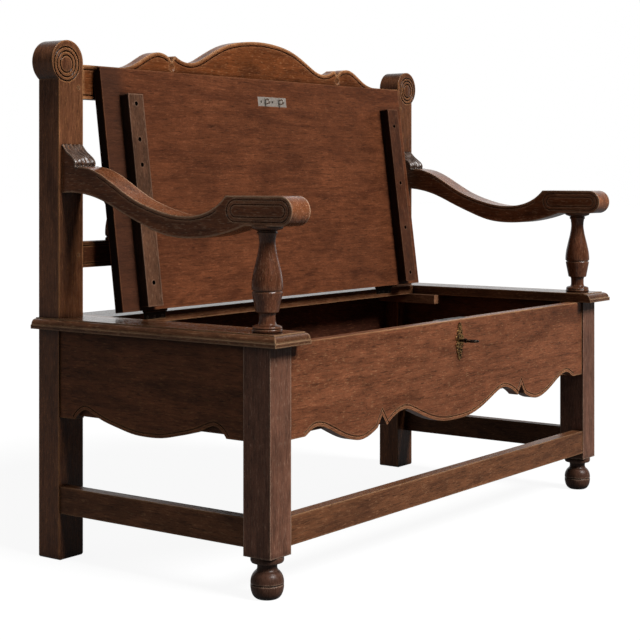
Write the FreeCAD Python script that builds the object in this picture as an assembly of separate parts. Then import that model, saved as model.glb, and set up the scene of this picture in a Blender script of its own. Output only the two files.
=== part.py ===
import FreeCAD, Part
import math
import os

# An oak box settle: four posts, two arms, an open back with sawn splats, and a chest under a hinged
# seat lid. The lid is modelled where it leans open on the crest rail, and the lock is unlocked.
# Millimetres. +Z is up, +X runs to the sitter's left-hand end, -Y is the front. The origin lies on
# the floor, under the middle of the whole bench.

Vector = FreeCAD.Vector
X_AXIS = Vector(1, 0, 0)
Y_AXIS = Vector(0, 1, 0)
Z_AXIS = Vector(0, 0, 1)

# Frame
bench_length = 1250.0
leg_frame_depth = 573.0
arm_nose_reach = 42.0
seat_height = 467.0
seat_board_thickness = 21.0
front_leg_width = 60.0
post_width = 65.0
post_depth = 55.0
foot_height = 75.0
leg_chamfer = 3.0

# Roll heads of the rear posts
roll_radius = 41.5
roll_centre_height = 964.5
ring_drop = 5.0
ring_side_shift = 3.0
ring_outer_radius = 34.5
ring_spacing = 8.2
ring_count = 3
ring_groove_width = 2.8
ring_groove_depth = 2.5
button_rise = 1.8

# Lower rails
rail_bottom_height = 90.0
rail_height = 52.0
rail_thickness = 25.0
side_rail_inset = 3.0
stretcher_inset = 1.0

# Chest panels
panel_bottom_height = 276.0
front_panel_thickness = 22.0
end_panel_thickness = 22.0
rear_panel_thickness = 16.0
panel_inset = 3.0
rear_panel_inset = 2.0
apron_peak_rise = 13.0
apron_belly_drop = 34.0
apron_notch_rise = 8.0
end_apron_peak_rise = 20.0
end_apron_belly_drop = 16.0
bead_inset = 6.0
bead_groove_width = 2.2
bead_groove_depth = 2.0
apron_line_depth = 1.2

# Chest floor
floor_top_height = 318.0
floor_board_thickness = 12.0
floor_board_count = 7
floor_board_gap = 1.0
floor_bearer_height = 18.0
floor_bearer_thickness = 20.0

# Seat boards and lid
seat_side_overhang = 22.0
seat_front_overhang = 29.0
end_board_width = 103.0
rear_board_depth = 111.0
nosing_step = 2.0
nosing_round = 10.0
nosing_ledge = 2.0
nosing_band = 8.0
post_notch_clearance = 0.2
cleat_width = 27.0
cleat_height = 21.5
cleat_lap = 18.0
cleat_front_reach = 74.5
lid_side_gap = 12.0
lid_front_setback = 4.0
lid_rear_gap = 1.0
lid_rest_gap = 0.4
lid_lean_gap = 0.3

# Lid battens
batten_width = 43.0
batten_thickness = 24.0
batten_front_gap = 5.0
batten_rear_inset = 6.0
batten_end_inset = 48.0
batten_counterbore_radius = 4.5
batten_counterbore_depth = 9.0
batten_screw_radius = 2.4
batten_screw_head_radius = 4.3
batten_screw_head_height = 2.5
batten_screw_length = 28.0
left_batten_screws = (53.0, 170.0, 288.0, 339.0, 411.0)
right_batten_screws = (27.0, 138.0, 248.0, 389.0)

# Butt hinges
hinge_length = 65.0
hinge_end_inset = 119.0
hinge_leaf_thickness = 2.0
hinge_leaf_depth = 13.0
hinge_screw_drop = 8.5
hinge_knuckle_radius = 4.5
hinge_knuckle_rise = 4.8
hinge_knuckle_count = 5
hinge_knuckle_gap = 0.3
hinge_running_clearance = 0.3
hinge_pin_radius = 2.0
hinge_pin_clearance = 0.08
hinge_pin_head_radius = 3.2
hinge_pin_head_length = 1.0
hinge_screw_radius = 1.6
hinge_screw_head_radius = 3.2
hinge_screw_length = 16.0
hinge_screw_spacing = 22.0

# Crest rail, lower back rail and splats
crest_flat_height = 960.5
crest_lower_height = 893.0
crest_thickness = 25.0
crest_inset = 1.0
crest_peak_rise = 82.5
crest_bead_inset = 8.0
crest_dot_radius = 9.0
crest_dot_depth = 3.5
crest_dot_drop = 12.0
lower_back_rail_bottom = 562.0
lower_back_rail_top = 613.0
rail_groove_inset = 8.0
splat_count = 5
splat_thickness = 12.0
splat_foot_half_width = 30.0
splat_neck_half_width = 23.0
splat_belly_half_width = 42.0
splat_housing = 10.0
splat_shoulder = 4.0
splat_nick = 3.0

# Arms and their turned supports
arm_width = 54.0
arm_outer_inset = 7.0
arm_flat_height = 707.0
arm_flat_thickness = 53.0
arm_flat_length = 149.0
arm_bottom_lead = 43.0
arm_valley_drop = 38.0
arm_valley_thickness = 40.0
arm_root_top_height = 759.5
arm_root_bottom_height = 709.0
arm_leaf_top_height = 802.0
arm_leaf_depth = 38.0
arm_leaf_flute_count = 5
arm_leaf_flute_depth = 1.2
arm_leaf_hollow_lift = 3.0
arm_outer_track_inset = 6.2
arm_inner_track_inset = 14.6
arm_line_inset = 6.0
arm_top_line_inset = 6.0
arm_line_width = 1.6
arm_line_depth = 1.5
arm_tenon_width = 18.0
arm_tenon_height = 36.0
support_radius = 28.8
support_tenon_radius = 10.0
support_leg_tenon_depth = 18.0
support_arm_tenon_depth = 24.0

# Joints
tenon_length = 30.0
tenon_thickness = 9.0
tenon_shoulder = 6.0
tongue_length = 14.0
tongue_thickness = 8.0
mortise_end_room = 1.5
peg_radius = 3.5
peg_length = 34.0
peg_proud = 0.6
peg_inset = 12.0
peg_drop = 12.0

# Lock, key and escutcheon
lock_centre_x = 11.0
lock_width = 21.0
lock_let_in = 10.5
lock_case_overhang = 19.0
lock_case_height = 62.0
lock_wall = 2.0
lock_pillar_radius = 3.4
lock_pillar_room = 3.5
lock_rail_height = 3.0
selvedge_overhang = 9.0
selvedge_thickness = 2.5
key_axis_drop = 43.0
key_shank_radius = 3.0
key_reach = 44.5
key_bow_length = 27.0
key_bow_width = 23.0
key_bow_thickness = 4.0
key_bow_ring = 4.5
key_bit_radius = 9.2
key_bit_thickness = 2.4
key_bit_width = 6.0
key_collar_step = 1.6
key_collar_length = 2.5
key_tip_radius = 2.5
key_tip_clearance = 0.06
keyhole_clearance = 0.4
bolt_thickness = 4.0
bolt_bar_height = 12.0
bolt_clear_of_key = 7.8
bolt_throw = 9.0
bolt_notch_width = 10.0
bolt_notch_depth = 2.0
bolt_tongue_height = 5.0
bolt_slide_gap = 0.15
bolt_tongue_room = 1.4
bolt_post_gap = 0.4
bolt_post_length = 4.0
bolt_tail = 14.0
spring_thickness = 0.8
spring_width = 6.0
spring_rest_gap = 0.3
staple_spacing = 50.0
staple_thickness = 3.2
staple_width = 12.0
staple_drop = 14.0
staple_wire = 3.0
staple_slot_clearance = 1.0
strike_overhang = 26.0
strike_width = 21.0
strike_thickness = 2.0
plate_screw_radius = 1.5
plate_screw_head_radius = 3.0
plate_screw_length = 12.0
escutcheon_thickness = 1.5
escutcheon_height = 78.0
escutcheon_pin_radius = 0.8
escutcheon_pin_length = 9.0

# Places worked out from the sizes
outer_x = bench_length / 2
post_inner_x = outer_x - post_width
leg_inner_x = outer_x - front_leg_width
leg_centre_x = outer_x - front_leg_width / 2
back_y = (leg_frame_depth + arm_nose_reach) / 2
front_y = back_y - leg_frame_depth
post_front_y = back_y - post_depth
leg_back_y = front_y + front_leg_width
leg_centre_y = front_y + front_leg_width / 2
seat_under_z = seat_height - seat_board_thickness
rail_top_z = rail_bottom_height + rail_height
front_panel_face_y = front_y + panel_inset
front_panel_back_y = front_panel_face_y + front_panel_thickness
rear_panel_face_y = back_y - rear_panel_inset - rear_panel_thickness
end_panel_face_x = outer_x - panel_inset
end_panel_inner_x = end_panel_face_x - end_panel_thickness
seat_outer_x = outer_x + seat_side_overhang
seat_front_y = front_y - seat_front_overhang
lid_front_y = seat_front_y + lid_front_setback
end_board_inner_x = seat_outer_x - end_board_width
rear_board_front_y = back_y - rear_board_depth
hinge_axis_y = rear_board_front_y - lid_rear_gap / 2
hinge_axis_z = seat_height + hinge_knuckle_rise
lid_half_length = end_board_inner_x - lid_side_gap
hinge_centre_reach = lid_half_length - hinge_end_inset
lid_rear_y = rear_board_front_y - lid_rear_gap
lid_under_z = seat_under_z + lid_rest_gap
batten_rear_y = lid_rear_y - batten_rear_inset
batten_front_y = front_panel_back_y + batten_front_gap
batten_centre_x = lid_half_length - batten_end_inset - batten_width / 2
crest_face_y = post_front_y + crest_inset
crest_back_y = crest_face_y + crest_thickness
splat_face_y = crest_face_y + (crest_thickness - splat_thickness) / 2
roll_centre_x = post_inner_x + roll_radius
arm_outer_x = outer_x - arm_outer_inset
arm_inner_x = arm_outer_x - arm_width
arm_nose_y = front_y - arm_nose_reach
arm_flat_under_z = arm_flat_height - arm_flat_thickness
lock_case_length = staple_spacing + 2 * lock_case_overhang
selvedge_length = lock_case_length + 2 * selvedge_overhang
strike_length = staple_spacing + 2 * strike_overhang
key_axis_z = seat_under_z - key_axis_drop
lock_face_y = front_panel_back_y - lock_let_in
lock_back_y = lock_face_y + lock_width
lock_middle_y = (lock_face_y + lock_back_y) / 2
bolt_bottom_z = key_axis_z + bolt_clear_of_key
bolt_top_z = bolt_bottom_z + bolt_bar_height
nosing_depth = nosing_step + nosing_round + nosing_ledge


# General shapes

def box(x0, x1, y0, y1, z0, z1):
    return Part.makeBox(x1 - x0, y1 - y0, z1 - z0, Vector(x0, y0, z0))


def rod(start, direction, radius, length):
    return Part.makeCylinder(radius, length, start, direction)


def line(start, end):
    return Part.makeLine(start, end)


def curve(points):
    spline = Part.BSplineCurve()
    spline.interpolate(points)
    return spline.toShape()


def prism(edges, sweep):
    return Part.Face(Part.Wire(edges)).extrude(sweep)


def join(shapes):
    first = shapes[0]
    return first.multiFuse(shapes[1:]).removeSplitter() if len(shapes) > 1 else first


def carve(shape, cutters):
    return shape.cut(cutters).removeSplitter() if cutters else shape


def mirrored(shape):
    return shape.mirror(Vector(0, 0, 0), X_AXIS)


def save(name, shapes):
    solids = [solid for shape in shapes for solid in shape.Solids]
    whole = solids[0] if len(solids) == 1 else Part.makeCompound(solids)
    whole.exportStep("parts/" + name + ".step")


def save_pair(name, left_shape):
    save(name + "_left", [left_shape])
    save(name + "_right", [mirrored(left_shape)])


def smooth_offset(points, distance):
    """Moves each point of an open run of (across, up) pairs sideways by distance, to its left."""
    moved = []
    last = len(points) - 1
    for index, (across, up) in enumerate(points):
        before = points[max(index - 1, 0)]
        after = points[min(index + 1, last)]
        run = after[0] - before[0]
        rise = after[1] - before[1]
        size = math.hypot(run, rise)
        moved.append((across - rise / size * distance, up + run / size * distance))
    return moved


def band(points, inner, outer, place, sweep):
    """A thin bar that follows a smooth run of points, between two offsets from it."""
    near = [place(a, b) for a, b in smooth_offset(points, inner)]
    far = [place(a, b) for a, b in smooth_offset(points, outer)]
    edges = [curve(near), line(near[-1], far[-1]), curve(far), line(far[0], near[0])]
    return Part.Face(Part.Wire(Part.__sortEdges__(edges))).extrude(sweep)


def turned(profile, centre_x, centre_y):
    """Revolves runs of (radius, height) points; a run of two is straight, a longer one is curved."""
    edges = []
    for run in profile:
        points = [Vector(radius, 0, height) for radius, height in run]
        edges.append(line(points[0], points[1]) if len(points) == 2 else curve(points))
    low = profile[0][0]
    high = profile[-1][-1]
    edges.append(line(Vector(high[0], 0, high[1]), Vector(0, 0, high[1])))
    edges.append(line(Vector(0, 0, high[1]), Vector(0, 0, low[1])))
    edges.append(line(Vector(0, 0, low[1]), Vector(low[0], 0, low[1])))
    wire = Part.Wire(Part.__sortEdges__(edges))
    solid = Part.Face(wire).revolve(Vector(0, 0, 0), Z_AXIS, 360)
    solid.translate(Vector(centre_x, centre_y, 0))
    return solid


def countersunk_screw(head, direction, radius, head_radius, length):
    """A screw whose flat head lies at the given point; the shank runs along the direction."""
    depth = head_radius - radius
    cone = Part.makeCone(head_radius, radius, depth, head, direction)
    shank = rod(head + direction * depth, direction, radius, length - depth)
    return cone.fuse(shank).removeSplitter()


# Mortise and tenon joints. A bar's core runs on past its shoulders: as far as the tenon in the bar
# itself, and a little farther in the cutter that makes the mortises.

def core_along_x(x0, x1, y0, y1, z0, z1, thickness, shoulder, reach):
    middle = (y0 + y1) / 2
    return box(x0 - reach, x1 + reach, middle - thickness / 2, middle + thickness / 2,
               z0 + shoulder, z1 - shoulder)


def core_along_y(x0, x1, y0, y1, z0, z1, thickness, shoulder, reach):
    middle = (x0 + x1) / 2
    return box(middle - thickness / 2, middle + thickness / 2, y0 - reach, y1 + reach,
               z0 + shoulder, z1 - shoulder)


def side_rail_core(reach):
    x0 = -outer_x + side_rail_inset
    return core_along_y(x0, x0 + rail_thickness, leg_back_y, post_front_y,
                        rail_bottom_height, rail_top_z, tenon_thickness, tenon_shoulder, reach)


def stretcher_core(reach):
    y0 = front_y + stretcher_inset
    return core_along_x(-leg_inner_x, leg_inner_x, y0, y0 + rail_thickness,
                        rail_bottom_height, rail_top_z, tenon_thickness, tenon_shoulder, reach)


def front_panel_core(reach):
    return core_along_x(-leg_inner_x, leg_inner_x, front_panel_face_y, front_panel_back_y,
                        panel_bottom_height, seat_under_z, tongue_thickness, tenon_shoulder, reach)


def rear_panel_core(reach):
    return core_along_x(-post_inner_x, post_inner_x, rear_panel_face_y,
                        rear_panel_face_y + rear_panel_thickness,
                        panel_bottom_height, seat_under_z, tongue_thickness, tenon_shoulder, reach)


def end_panel_core(reach):
    return core_along_y(-end_panel_face_x, -end_panel_inner_x, leg_back_y, post_front_y,
                        panel_bottom_height, seat_under_z, tongue_thickness, tenon_shoulder, reach)


def lower_back_rail_core(reach):
    return core_along_x(-post_inner_x, post_inner_x, crest_face_y, crest_back_y,
                        lower_back_rail_bottom, lower_back_rail_top,
                        tenon_thickness, tenon_shoulder, reach)


def crest_core(reach):
    return core_along_x(-post_inner_x, post_inner_x, crest_face_y, crest_back_y,
                        crest_lower_height, crest_flat_height,
                        tenon_thickness, tenon_shoulder, reach)


def arm_core(reach):
    middle_x = -(arm_outer_x + arm_inner_x) / 2
    middle_z = (arm_root_bottom_height + arm_root_top_height) / 2
    return box(middle_x - arm_tenon_width / 2, middle_x + arm_tenon_width / 2,
               post_front_y, post_front_y + reach,
               middle_z - arm_tenon_height / 2, middle_z + arm_tenon_height / 2)


# Pegs driven from the front through the left post and the tenons of both back rails

def left_peg_shapes():
    rail_middle = (lower_back_rail_bottom + lower_back_rail_top) / 2
    crest_middle = (crest_lower_height + crest_flat_height) / 2
    pegs = []
    for height in (rail_middle, crest_middle - peg_drop):
        start = Vector(-post_inner_x - peg_inset, post_front_y - peg_proud, height)
        pegs.append(rod(start, Y_AXIS, peg_radius, peg_length))
    return pegs


# Posts and legs

def roll_outline_edges():
    """The rear post seen from the front: a straight shaft that ends in a roll leaning outwards."""
    inner = -post_inner_x
    outer = -outer_x
    centre = Vector(-roll_centre_x, 0, roll_centre_height)
    side = roll_centre_x - outer_x
    drop = math.sqrt(roll_radius ** 2 - side ** 2)
    meet = Vector(outer, 0, roll_centre_height - drop)
    start = Vector(inner, 0, roll_centre_height)
    top = centre + Vector(0, 0, roll_radius)
    far = centre - Vector(roll_radius, 0, 0)
    return [
        line(Vector(outer, 0, leg_chamfer), Vector(outer + leg_chamfer, 0, 0)),
        line(Vector(outer + leg_chamfer, 0, 0), Vector(inner - leg_chamfer, 0, 0)),
        line(Vector(inner - leg_chamfer, 0, 0), Vector(inner, 0, leg_chamfer)),
        line(Vector(inner, 0, leg_chamfer), start),
        Part.Arc(start, top, far).toShape(),
        Part.Arc(far, centre + Vector(-roll_radius * math.cos(0.4), 0, -roll_radius * math.sin(0.4)),
                 meet).toShape(),
        line(meet, Vector(outer, 0, leg_chamfer)),
    ]


def ring_centre():
    return Vector(-roll_centre_x - ring_side_shift, post_front_y, roll_centre_height - ring_drop)


def ring_grooves():
    """Rings cut in the front of the roll, a little below the middle of the roll itself."""
    grooves = []
    for index in range(ring_count):
        radius = ring_outer_radius - index * ring_spacing
        outer = rod(ring_centre(), Y_AXIS, radius, ring_groove_depth)
        grooves.append(outer.cut(rod(ring_centre(), Y_AXIS, radius - ring_groove_width,
                                     ring_groove_depth)))
    return grooves


def button():
    """The domed middle of the rings."""
    radius = ring_outer_radius - (ring_count - 1) * ring_spacing - ring_groove_width
    sphere_radius = (radius ** 2 + button_rise ** 2) / (2 * button_rise)
    ball = Part.makeSphere(sphere_radius, ring_centre() + Y_AXIS * (sphere_radius - button_rise))
    reach = rod(ring_centre() - Y_AXIS * button_rise, Y_AXIS, radius, 2 * button_rise)
    return ball.common(reach)


def rear_post():
    post = prism(roll_outline_edges(), Y_AXIS * post_depth)
    post.translate(Y_AXIS * post_front_y)
    deep = tenon_length + mortise_end_room
    slot = tongue_length + mortise_end_room
    cutters = [side_rail_core(deep), end_panel_core(slot), rear_panel_core(slot),
               lower_back_rail_core(deep), crest_core(deep), arm_core(deep)]
    post = carve(post, cutters + ring_grooves() + left_peg_shapes())
    return join([post, button()])


def front_leg():
    """A square leg whose foot is turned from the same wood: collar, neck, and a ball with a line.
    The foot's points are shares of half the leg's width and of the foot's height."""
    block = box(-outer_x, -leg_inner_x, front_y, leg_back_y, foot_height, seat_under_z)
    half = front_leg_width / 2
    shares = [
        [(0.6, 0.0), (0.83, 0.07), (0.94, 0.17), (0.985, 0.26), (0.99, 0.335)],
        [(0.99, 0.335), (0.93, 0.342)],
        [(0.93, 0.342), (0.93, 0.362)],
        [(0.93, 0.362), (0.99, 0.369)],
        [(0.99, 0.369), (0.965, 0.47), (0.86, 0.575), (0.66, 0.66)],
        [(0.66, 0.66), (0.6, 0.71), (0.6, 0.78), (0.66, 0.84)],
        [(0.66, 0.84), (0.93, 0.852)],
        [(0.93, 0.852), (0.99, 0.895), (0.99, 0.95), (0.94, 1.0)],
    ]
    foot = turned([[(across * half, up * foot_height) for across, up in run] for run in shares],
                  -leg_centre_x, leg_centre_y)
    leg = join([block, foot])
    deep = tenon_length + mortise_end_room
    slot = tongue_length + mortise_end_room
    return carve(leg, [side_rail_core(deep), stretcher_core(deep), front_panel_core(slot),
                       end_panel_core(slot), support_tenons()])


# Rails

def side_rail():
    x0 = -outer_x + side_rail_inset
    bar = box(x0, x0 + rail_thickness, leg_back_y, post_front_y, rail_bottom_height, rail_top_z)
    return join([bar, side_rail_core(tenon_length)])


def both_side_pegs():
    left = left_peg_shapes()
    return left + [mirrored(peg) for peg in left]


def front_stretcher():
    y0 = front_y + stretcher_inset
    bar = box(-leg_inner_x, leg_inner_x, y0, y0 + rail_thickness, rail_bottom_height, rail_top_z)
    return join([bar, stretcher_core(tenon_length)])


def rail_lines(z_low, z_high):
    """Two scratch-stock lines along the face of a back rail, one near each edge."""
    cutters = []
    for height in (z_low + rail_groove_inset, z_high - rail_groove_inset):
        cutters.append(box(-post_inner_x, post_inner_x, crest_face_y,
                           crest_face_y + bead_groove_depth,
                           height - bead_groove_width / 2, height + bead_groove_width / 2))
    return cutters


def splat_housings():
    """The sockets for the ends of the splats, in both back rails."""
    sockets = []
    for centre in splat_centres():
        sockets.append(box(centre - splat_foot_half_width, centre + splat_foot_half_width,
                           splat_face_y, splat_face_y + splat_thickness,
                           lower_back_rail_top - splat_housing,
                           crest_lower_height + splat_housing))
    return sockets


def splat_centres():
    pitch = 2 * post_inner_x / splat_count
    return [-post_inner_x + pitch * (index + 0.5) for index in range(splat_count)]


def lower_back_rail():
    bar = box(-post_inner_x, post_inner_x, crest_face_y, crest_back_y,
              lower_back_rail_bottom, lower_back_rail_top)
    bar = join([bar, lower_back_rail_core(tenon_length)])
    cutters = rail_lines(lower_back_rail_bottom, lower_back_rail_top)
    return carve(bar, cutters + splat_housings() + both_side_pegs())


def crest_runs():
    """The left half of the crest's top edge: a small lobe, a notch, and the rise to the arch.
    Each run is smooth, and the runs meet at the notch. Heights are shares of the arch's rise."""
    half = post_inner_x
    lobe = [(-0.817, 0.0), (-0.781, 0.018), (-0.723, 0.145), (-0.67, 0.333), (-0.612, 0.461),
            (-0.566, 0.418), (-0.548, 0.358)]
    notch_tip = (-0.532, 0.255)
    arch = [(-0.512, 0.406), (-0.48, 0.31), (-0.446, 0.264), (-0.395, 0.292), (-0.33, 0.473),
            (-0.21, 0.818), (-0.105, 0.958), (0.0, 1.0)]
    spread = lambda run: [(share * half, crest_flat_height + up * crest_peak_rise)
                          for share, up in run]
    return spread(lobe), spread([notch_tip])[0], spread(arch)


def mirrored_run(points):
    return [(-across, up) for across, up in reversed(points)]


def crest_rail():
    """The shaped top rail, with a line cut inside its edge that leaves a bead along the top."""
    lobe, tip, arch = crest_runs()
    place = lambda across, up: Vector(across, crest_face_y, up)
    left_end = place(-post_inner_x, crest_flat_height)
    right_end = place(post_inner_x, crest_flat_height)
    whole_arch = arch + mirrored_run(arch)[1:]
    right_lobe = mirrored_run(lobe)
    right_tip = (-tip[0], tip[1])
    edges = [
        line(left_end, place(*lobe[0])),
        curve([place(*point) for point in lobe]),
        line(place(*lobe[-1]), place(*tip)),
        line(place(*tip), place(*arch[0])),
        curve([place(*point) for point in whole_arch]),
        line(place(*whole_arch[-1]), place(*right_tip)),
        line(place(*right_tip), place(*right_lobe[0])),
        curve([place(*point) for point in right_lobe]),
        line(place(*right_lobe[-1]), right_end),
        line(right_end, place(post_inner_x, crest_lower_height)),
        line(place(post_inner_x, crest_lower_height), place(-post_inner_x, crest_lower_height)),
        line(place(-post_inner_x, crest_lower_height), left_end),
    ]
    rail = join([prism(edges, Y_AXIS * crest_thickness), crest_core(tenon_length)])
    sink = Y_AXIS * bead_groove_depth
    near = -crest_bead_inset
    far = -crest_bead_inset - bead_groove_width
    cutters = [band(whole_arch, near, far, place, sink)]
    for run in (lobe, right_lobe):
        cutters.append(band(run, near, far, place, sink))
    for start, end in ((-post_inner_x, lobe[0][0]), (right_lobe[-1][0], post_inner_x)):
        cutters.append(box(start, end, crest_face_y, crest_face_y + bead_groove_depth,
                           crest_flat_height + far, crest_flat_height + near))
    cutters.append(rail_lines(crest_lower_height, crest_flat_height)[0])
    gouge_radius = (crest_dot_radius ** 2 + crest_dot_depth ** 2) / (2 * crest_dot_depth)
    for point in (tip, right_tip):
        dot = place(point[0], point[1] - crest_dot_drop)
        cutters.append(Part.makeSphere(gouge_radius, dot - Y_AXIS * (gouge_radius - crest_dot_depth)))
    return carve(rail, cutters + splat_housings() + both_side_pegs())


def splat(centre):
    """A flat board with the same wavy edge sawn on both sides."""
    low = lower_back_rail_top
    high = crest_lower_height
    middle = (low + high) / 2
    foot = splat_foot_half_width
    neck = splat_neck_half_width
    belly = splat_belly_half_width
    collar = 0.86 * foot
    rise = middle - low
    shoulder = splat_shoulder + 2 * splat_nick
    lower = [(foot, low + shoulder), (foot, low + 0.17 * rise), (1.13 * neck, low + 0.3 * rise),
             (neck, low + 0.39 * rise), (1.3 * neck, low + 0.51 * rise), (belly, low + 0.7 * rise),
             (0.81 * belly, low + 0.86 * rise), (0.55 * neck, middle)]
    upper = [(half, low + high - up) for half, up in reversed(lower)]
    place = lambda across, up: Vector(centre + across, splat_face_y, up)
    right = [curve([place(*point) for point in lower]), curve([place(*point) for point in upper])]
    left = [curve([place(-half, up) for half, up in lower]),
            curve([place(-half, up) for half, up in upper])]
    ends = []
    for end, step in ((low, 1), (high, -1)):
        base = end - step * (splat_housing - mortise_end_room)
        for side in (-1, 1):
            corners = [(foot, base), (foot, end + step * splat_shoulder),
                       (collar, end + step * (splat_shoulder + splat_nick)),
                       (foot, end + step * shoulder)]
            points = [place(side * half, up) for half, up in corners]
            ends += [line(points[index], points[index + 1]) for index in range(len(points) - 1)]
        ends.append(line(place(-foot, base), place(foot, base)))
    wire = Part.Wire(Part.__sortEdges__(right + left + ends))
    return Part.Face(wire).extrude(Y_AXIS * splat_thickness)


# Chest panels

def front_apron_runs():
    """The lower edge of the front panel from its left end to the middle, in smooth runs that
    meet at cusps and at a notch. Heights are from the flat ends."""
    half = leg_inner_x
    rise = apron_peak_rise
    drop = apron_belly_drop
    end_peak = [(-0.92, 0.0), (-0.9, 0.4 * rise), (-0.876, 0.88 * rise), (-0.85, rise),
                (-0.796, 0.39 * rise), (-0.729, -0.35 * drop), (-0.665, -0.73 * drop),
                (-0.611, -0.87 * drop), (-0.545, -0.66 * drop), (-0.51, -0.41 * drop)]
    notch_tip = (-0.483, apron_notch_rise)
    middle = [(-0.455, -0.4 * drop), (-0.435, -0.18 * drop), (-0.389, 0.43 * rise),
              (-0.342, 0.77 * rise), (-0.301, 0.39 * rise), (-0.232, -0.29 * drop),
              (-0.165, -0.67 * drop), (-0.081, -0.95 * drop), (0.0, -drop)]
    spread = lambda run: [(share * half, panel_bottom_height + up) for share, up in run]
    return spread(end_peak), spread([notch_tip])[0], spread(middle)


def notch_line(start, tip, end, place, sweep):
    """The scratched line inside a notch: two straight stretches that meet over the notch's tip."""
    rows = []
    for distance in (bead_inset, bead_inset + bead_groove_width):
        first, before_tip = smooth_offset([start, tip], distance)
        after_tip, last = smooth_offset([tip, end], distance)
        near = (before_tip[0] - tip[0], before_tip[1] - tip[1])
        far = (after_tip[0] - tip[0], after_tip[1] - tip[1])
        spread = distance ** 2 / (distance ** 2 + near[0] * far[0] + near[1] * far[1])
        corner = (tip[0] + spread * (near[0] + far[0]), tip[1] + spread * (near[1] + far[1]))
        rows.append([place(*point) for point in (first, corner, last)])
    corners = rows[0] + rows[1][::-1]
    edges = [line(corners[index - 1], corners[index]) for index in range(len(corners))]
    return prism(edges, sweep)


def front_panel():
    place = lambda across, up: Vector(across, front_panel_face_y, up)
    end_run, tip, middle = front_apron_runs()
    whole_middle = middle + mirrored_run(middle)[1:]
    right_end = mirrored_run(end_run)
    right_tip = (-tip[0], tip[1])
    low_left = place(-leg_inner_x, panel_bottom_height)
    low_right = place(leg_inner_x, panel_bottom_height)
    edges = [
        line(low_left, place(*end_run[0])),
        curve([place(*point) for point in end_run]),
        line(place(*end_run[-1]), place(*tip)),
        line(place(*tip), place(*middle[0])),
        curve([place(*point) for point in whole_middle]),
        line(place(*whole_middle[-1]), place(*right_tip)),
        line(place(*right_tip), place(*right_end[0])),
        curve([place(*point) for point in right_end]),
        line(place(*right_end[-1]), low_right),
        line(low_right, place(leg_inner_x, seat_under_z)),
        line(place(leg_inner_x, seat_under_z), place(-leg_inner_x, seat_under_z)),
        line(place(-leg_inner_x, seat_under_z), low_left),
    ]
    panel = join([prism(edges, Y_AXIS * front_panel_thickness), front_panel_core(tongue_length)])
    sink = Y_AXIS * apron_line_depth
    cutters = [band(run, bead_inset, bead_inset + bead_groove_width, place, sink)
               for run in (end_run, whole_middle, right_end)]
    cutters.append(notch_line(end_run[-1], tip, middle[0], place, sink))
    cutters.append(notch_line(whole_middle[-1], right_tip, right_end[0], place, sink))
    cutters += [lock_recess(), keyhole(front_panel_face_y - 1.0, lock_face_y + 1.0)]
    return carve(panel, cutters + lock_screw_shapes() + escutcheon_pin_shapes())


def end_apron_run():
    """The lower edge of an end panel between its two cusps, from the front to the back."""
    half = (post_front_y - leg_back_y) / 2
    centre = (post_front_y + leg_back_y) / 2
    rise = end_apron_peak_rise
    drop = end_apron_belly_drop
    run = [(0.82, 0.0), (0.775, 0.6 * rise), (0.7, rise), (0.62, 0.72 * rise), (0.5, 0.18 * rise),
           (0.32, -0.42 * drop), (0.16, -0.88 * drop), (0.0, -drop)]
    front = [(centre - share * half, panel_bottom_height + up) for share, up in run]
    back = [(centre + share * half, panel_bottom_height + up) for share, up in reversed(run)]
    return front + back[1:]


def end_panel():
    place = lambda along, up: Vector(-end_panel_face_x, along, up)
    run = end_apron_run()
    edges = [
        line(place(leg_back_y, panel_bottom_height), place(*run[0])),
        curve([place(*point) for point in run]),
        line(place(*run[-1]), place(post_front_y, panel_bottom_height)),
        line(place(post_front_y, panel_bottom_height), place(post_front_y, seat_under_z)),
        line(place(post_front_y, seat_under_z), place(leg_back_y, seat_under_z)),
        line(place(leg_back_y, seat_under_z), place(leg_back_y, panel_bottom_height)),
    ]
    panel = join([prism(edges, X_AXIS * end_panel_thickness), end_panel_core(tongue_length)])
    groove = band(run, bead_inset, bead_inset + bead_groove_width, place,
                  X_AXIS * apron_line_depth)
    return carve(panel, [groove])


def rear_panel():
    panel = box(-post_inner_x, post_inner_x, rear_panel_face_y,
                rear_panel_face_y + rear_panel_thickness, panel_bottom_height, seat_under_z)
    return join([panel, rear_panel_core(tongue_length)])


def floor_bearer(face_y, step, half_length):
    """A strip nailed inside a panel, under the ends of the floor boards."""
    top = floor_top_height - floor_board_thickness
    y0 = min(face_y, face_y + step * floor_bearer_thickness)
    return box(-half_length, half_length, y0, y0 + floor_bearer_thickness,
               top - floor_bearer_height, top)


def floor_boards():
    """Boards laid crosswise; the outermost are notched round the legs and the posts."""
    low = floor_top_height - floor_board_thickness
    clear = post_notch_clearance
    notches = []
    for side in (-1, 1):
        for inner, y0, y1 in ((leg_inner_x, front_y, leg_back_y), (post_inner_x, post_front_y, back_y)):
            x0, x1 = sorted((side * (inner - clear), side * outer_x))
            notches.append(box(x0, x1, y0 - clear, y1 + clear, low, floor_top_height))
    reach = end_panel_inner_x
    pitch = 2 * reach / floor_board_count
    boards = []
    for index in range(floor_board_count):
        x0 = -reach + pitch * index + floor_board_gap / 2
        board = box(x0, x0 + pitch - floor_board_gap, front_panel_back_y, rear_panel_face_y,
                    low, floor_top_height)
        boards.append(carve(board, notches))
    return boards


# Seat boards

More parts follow.
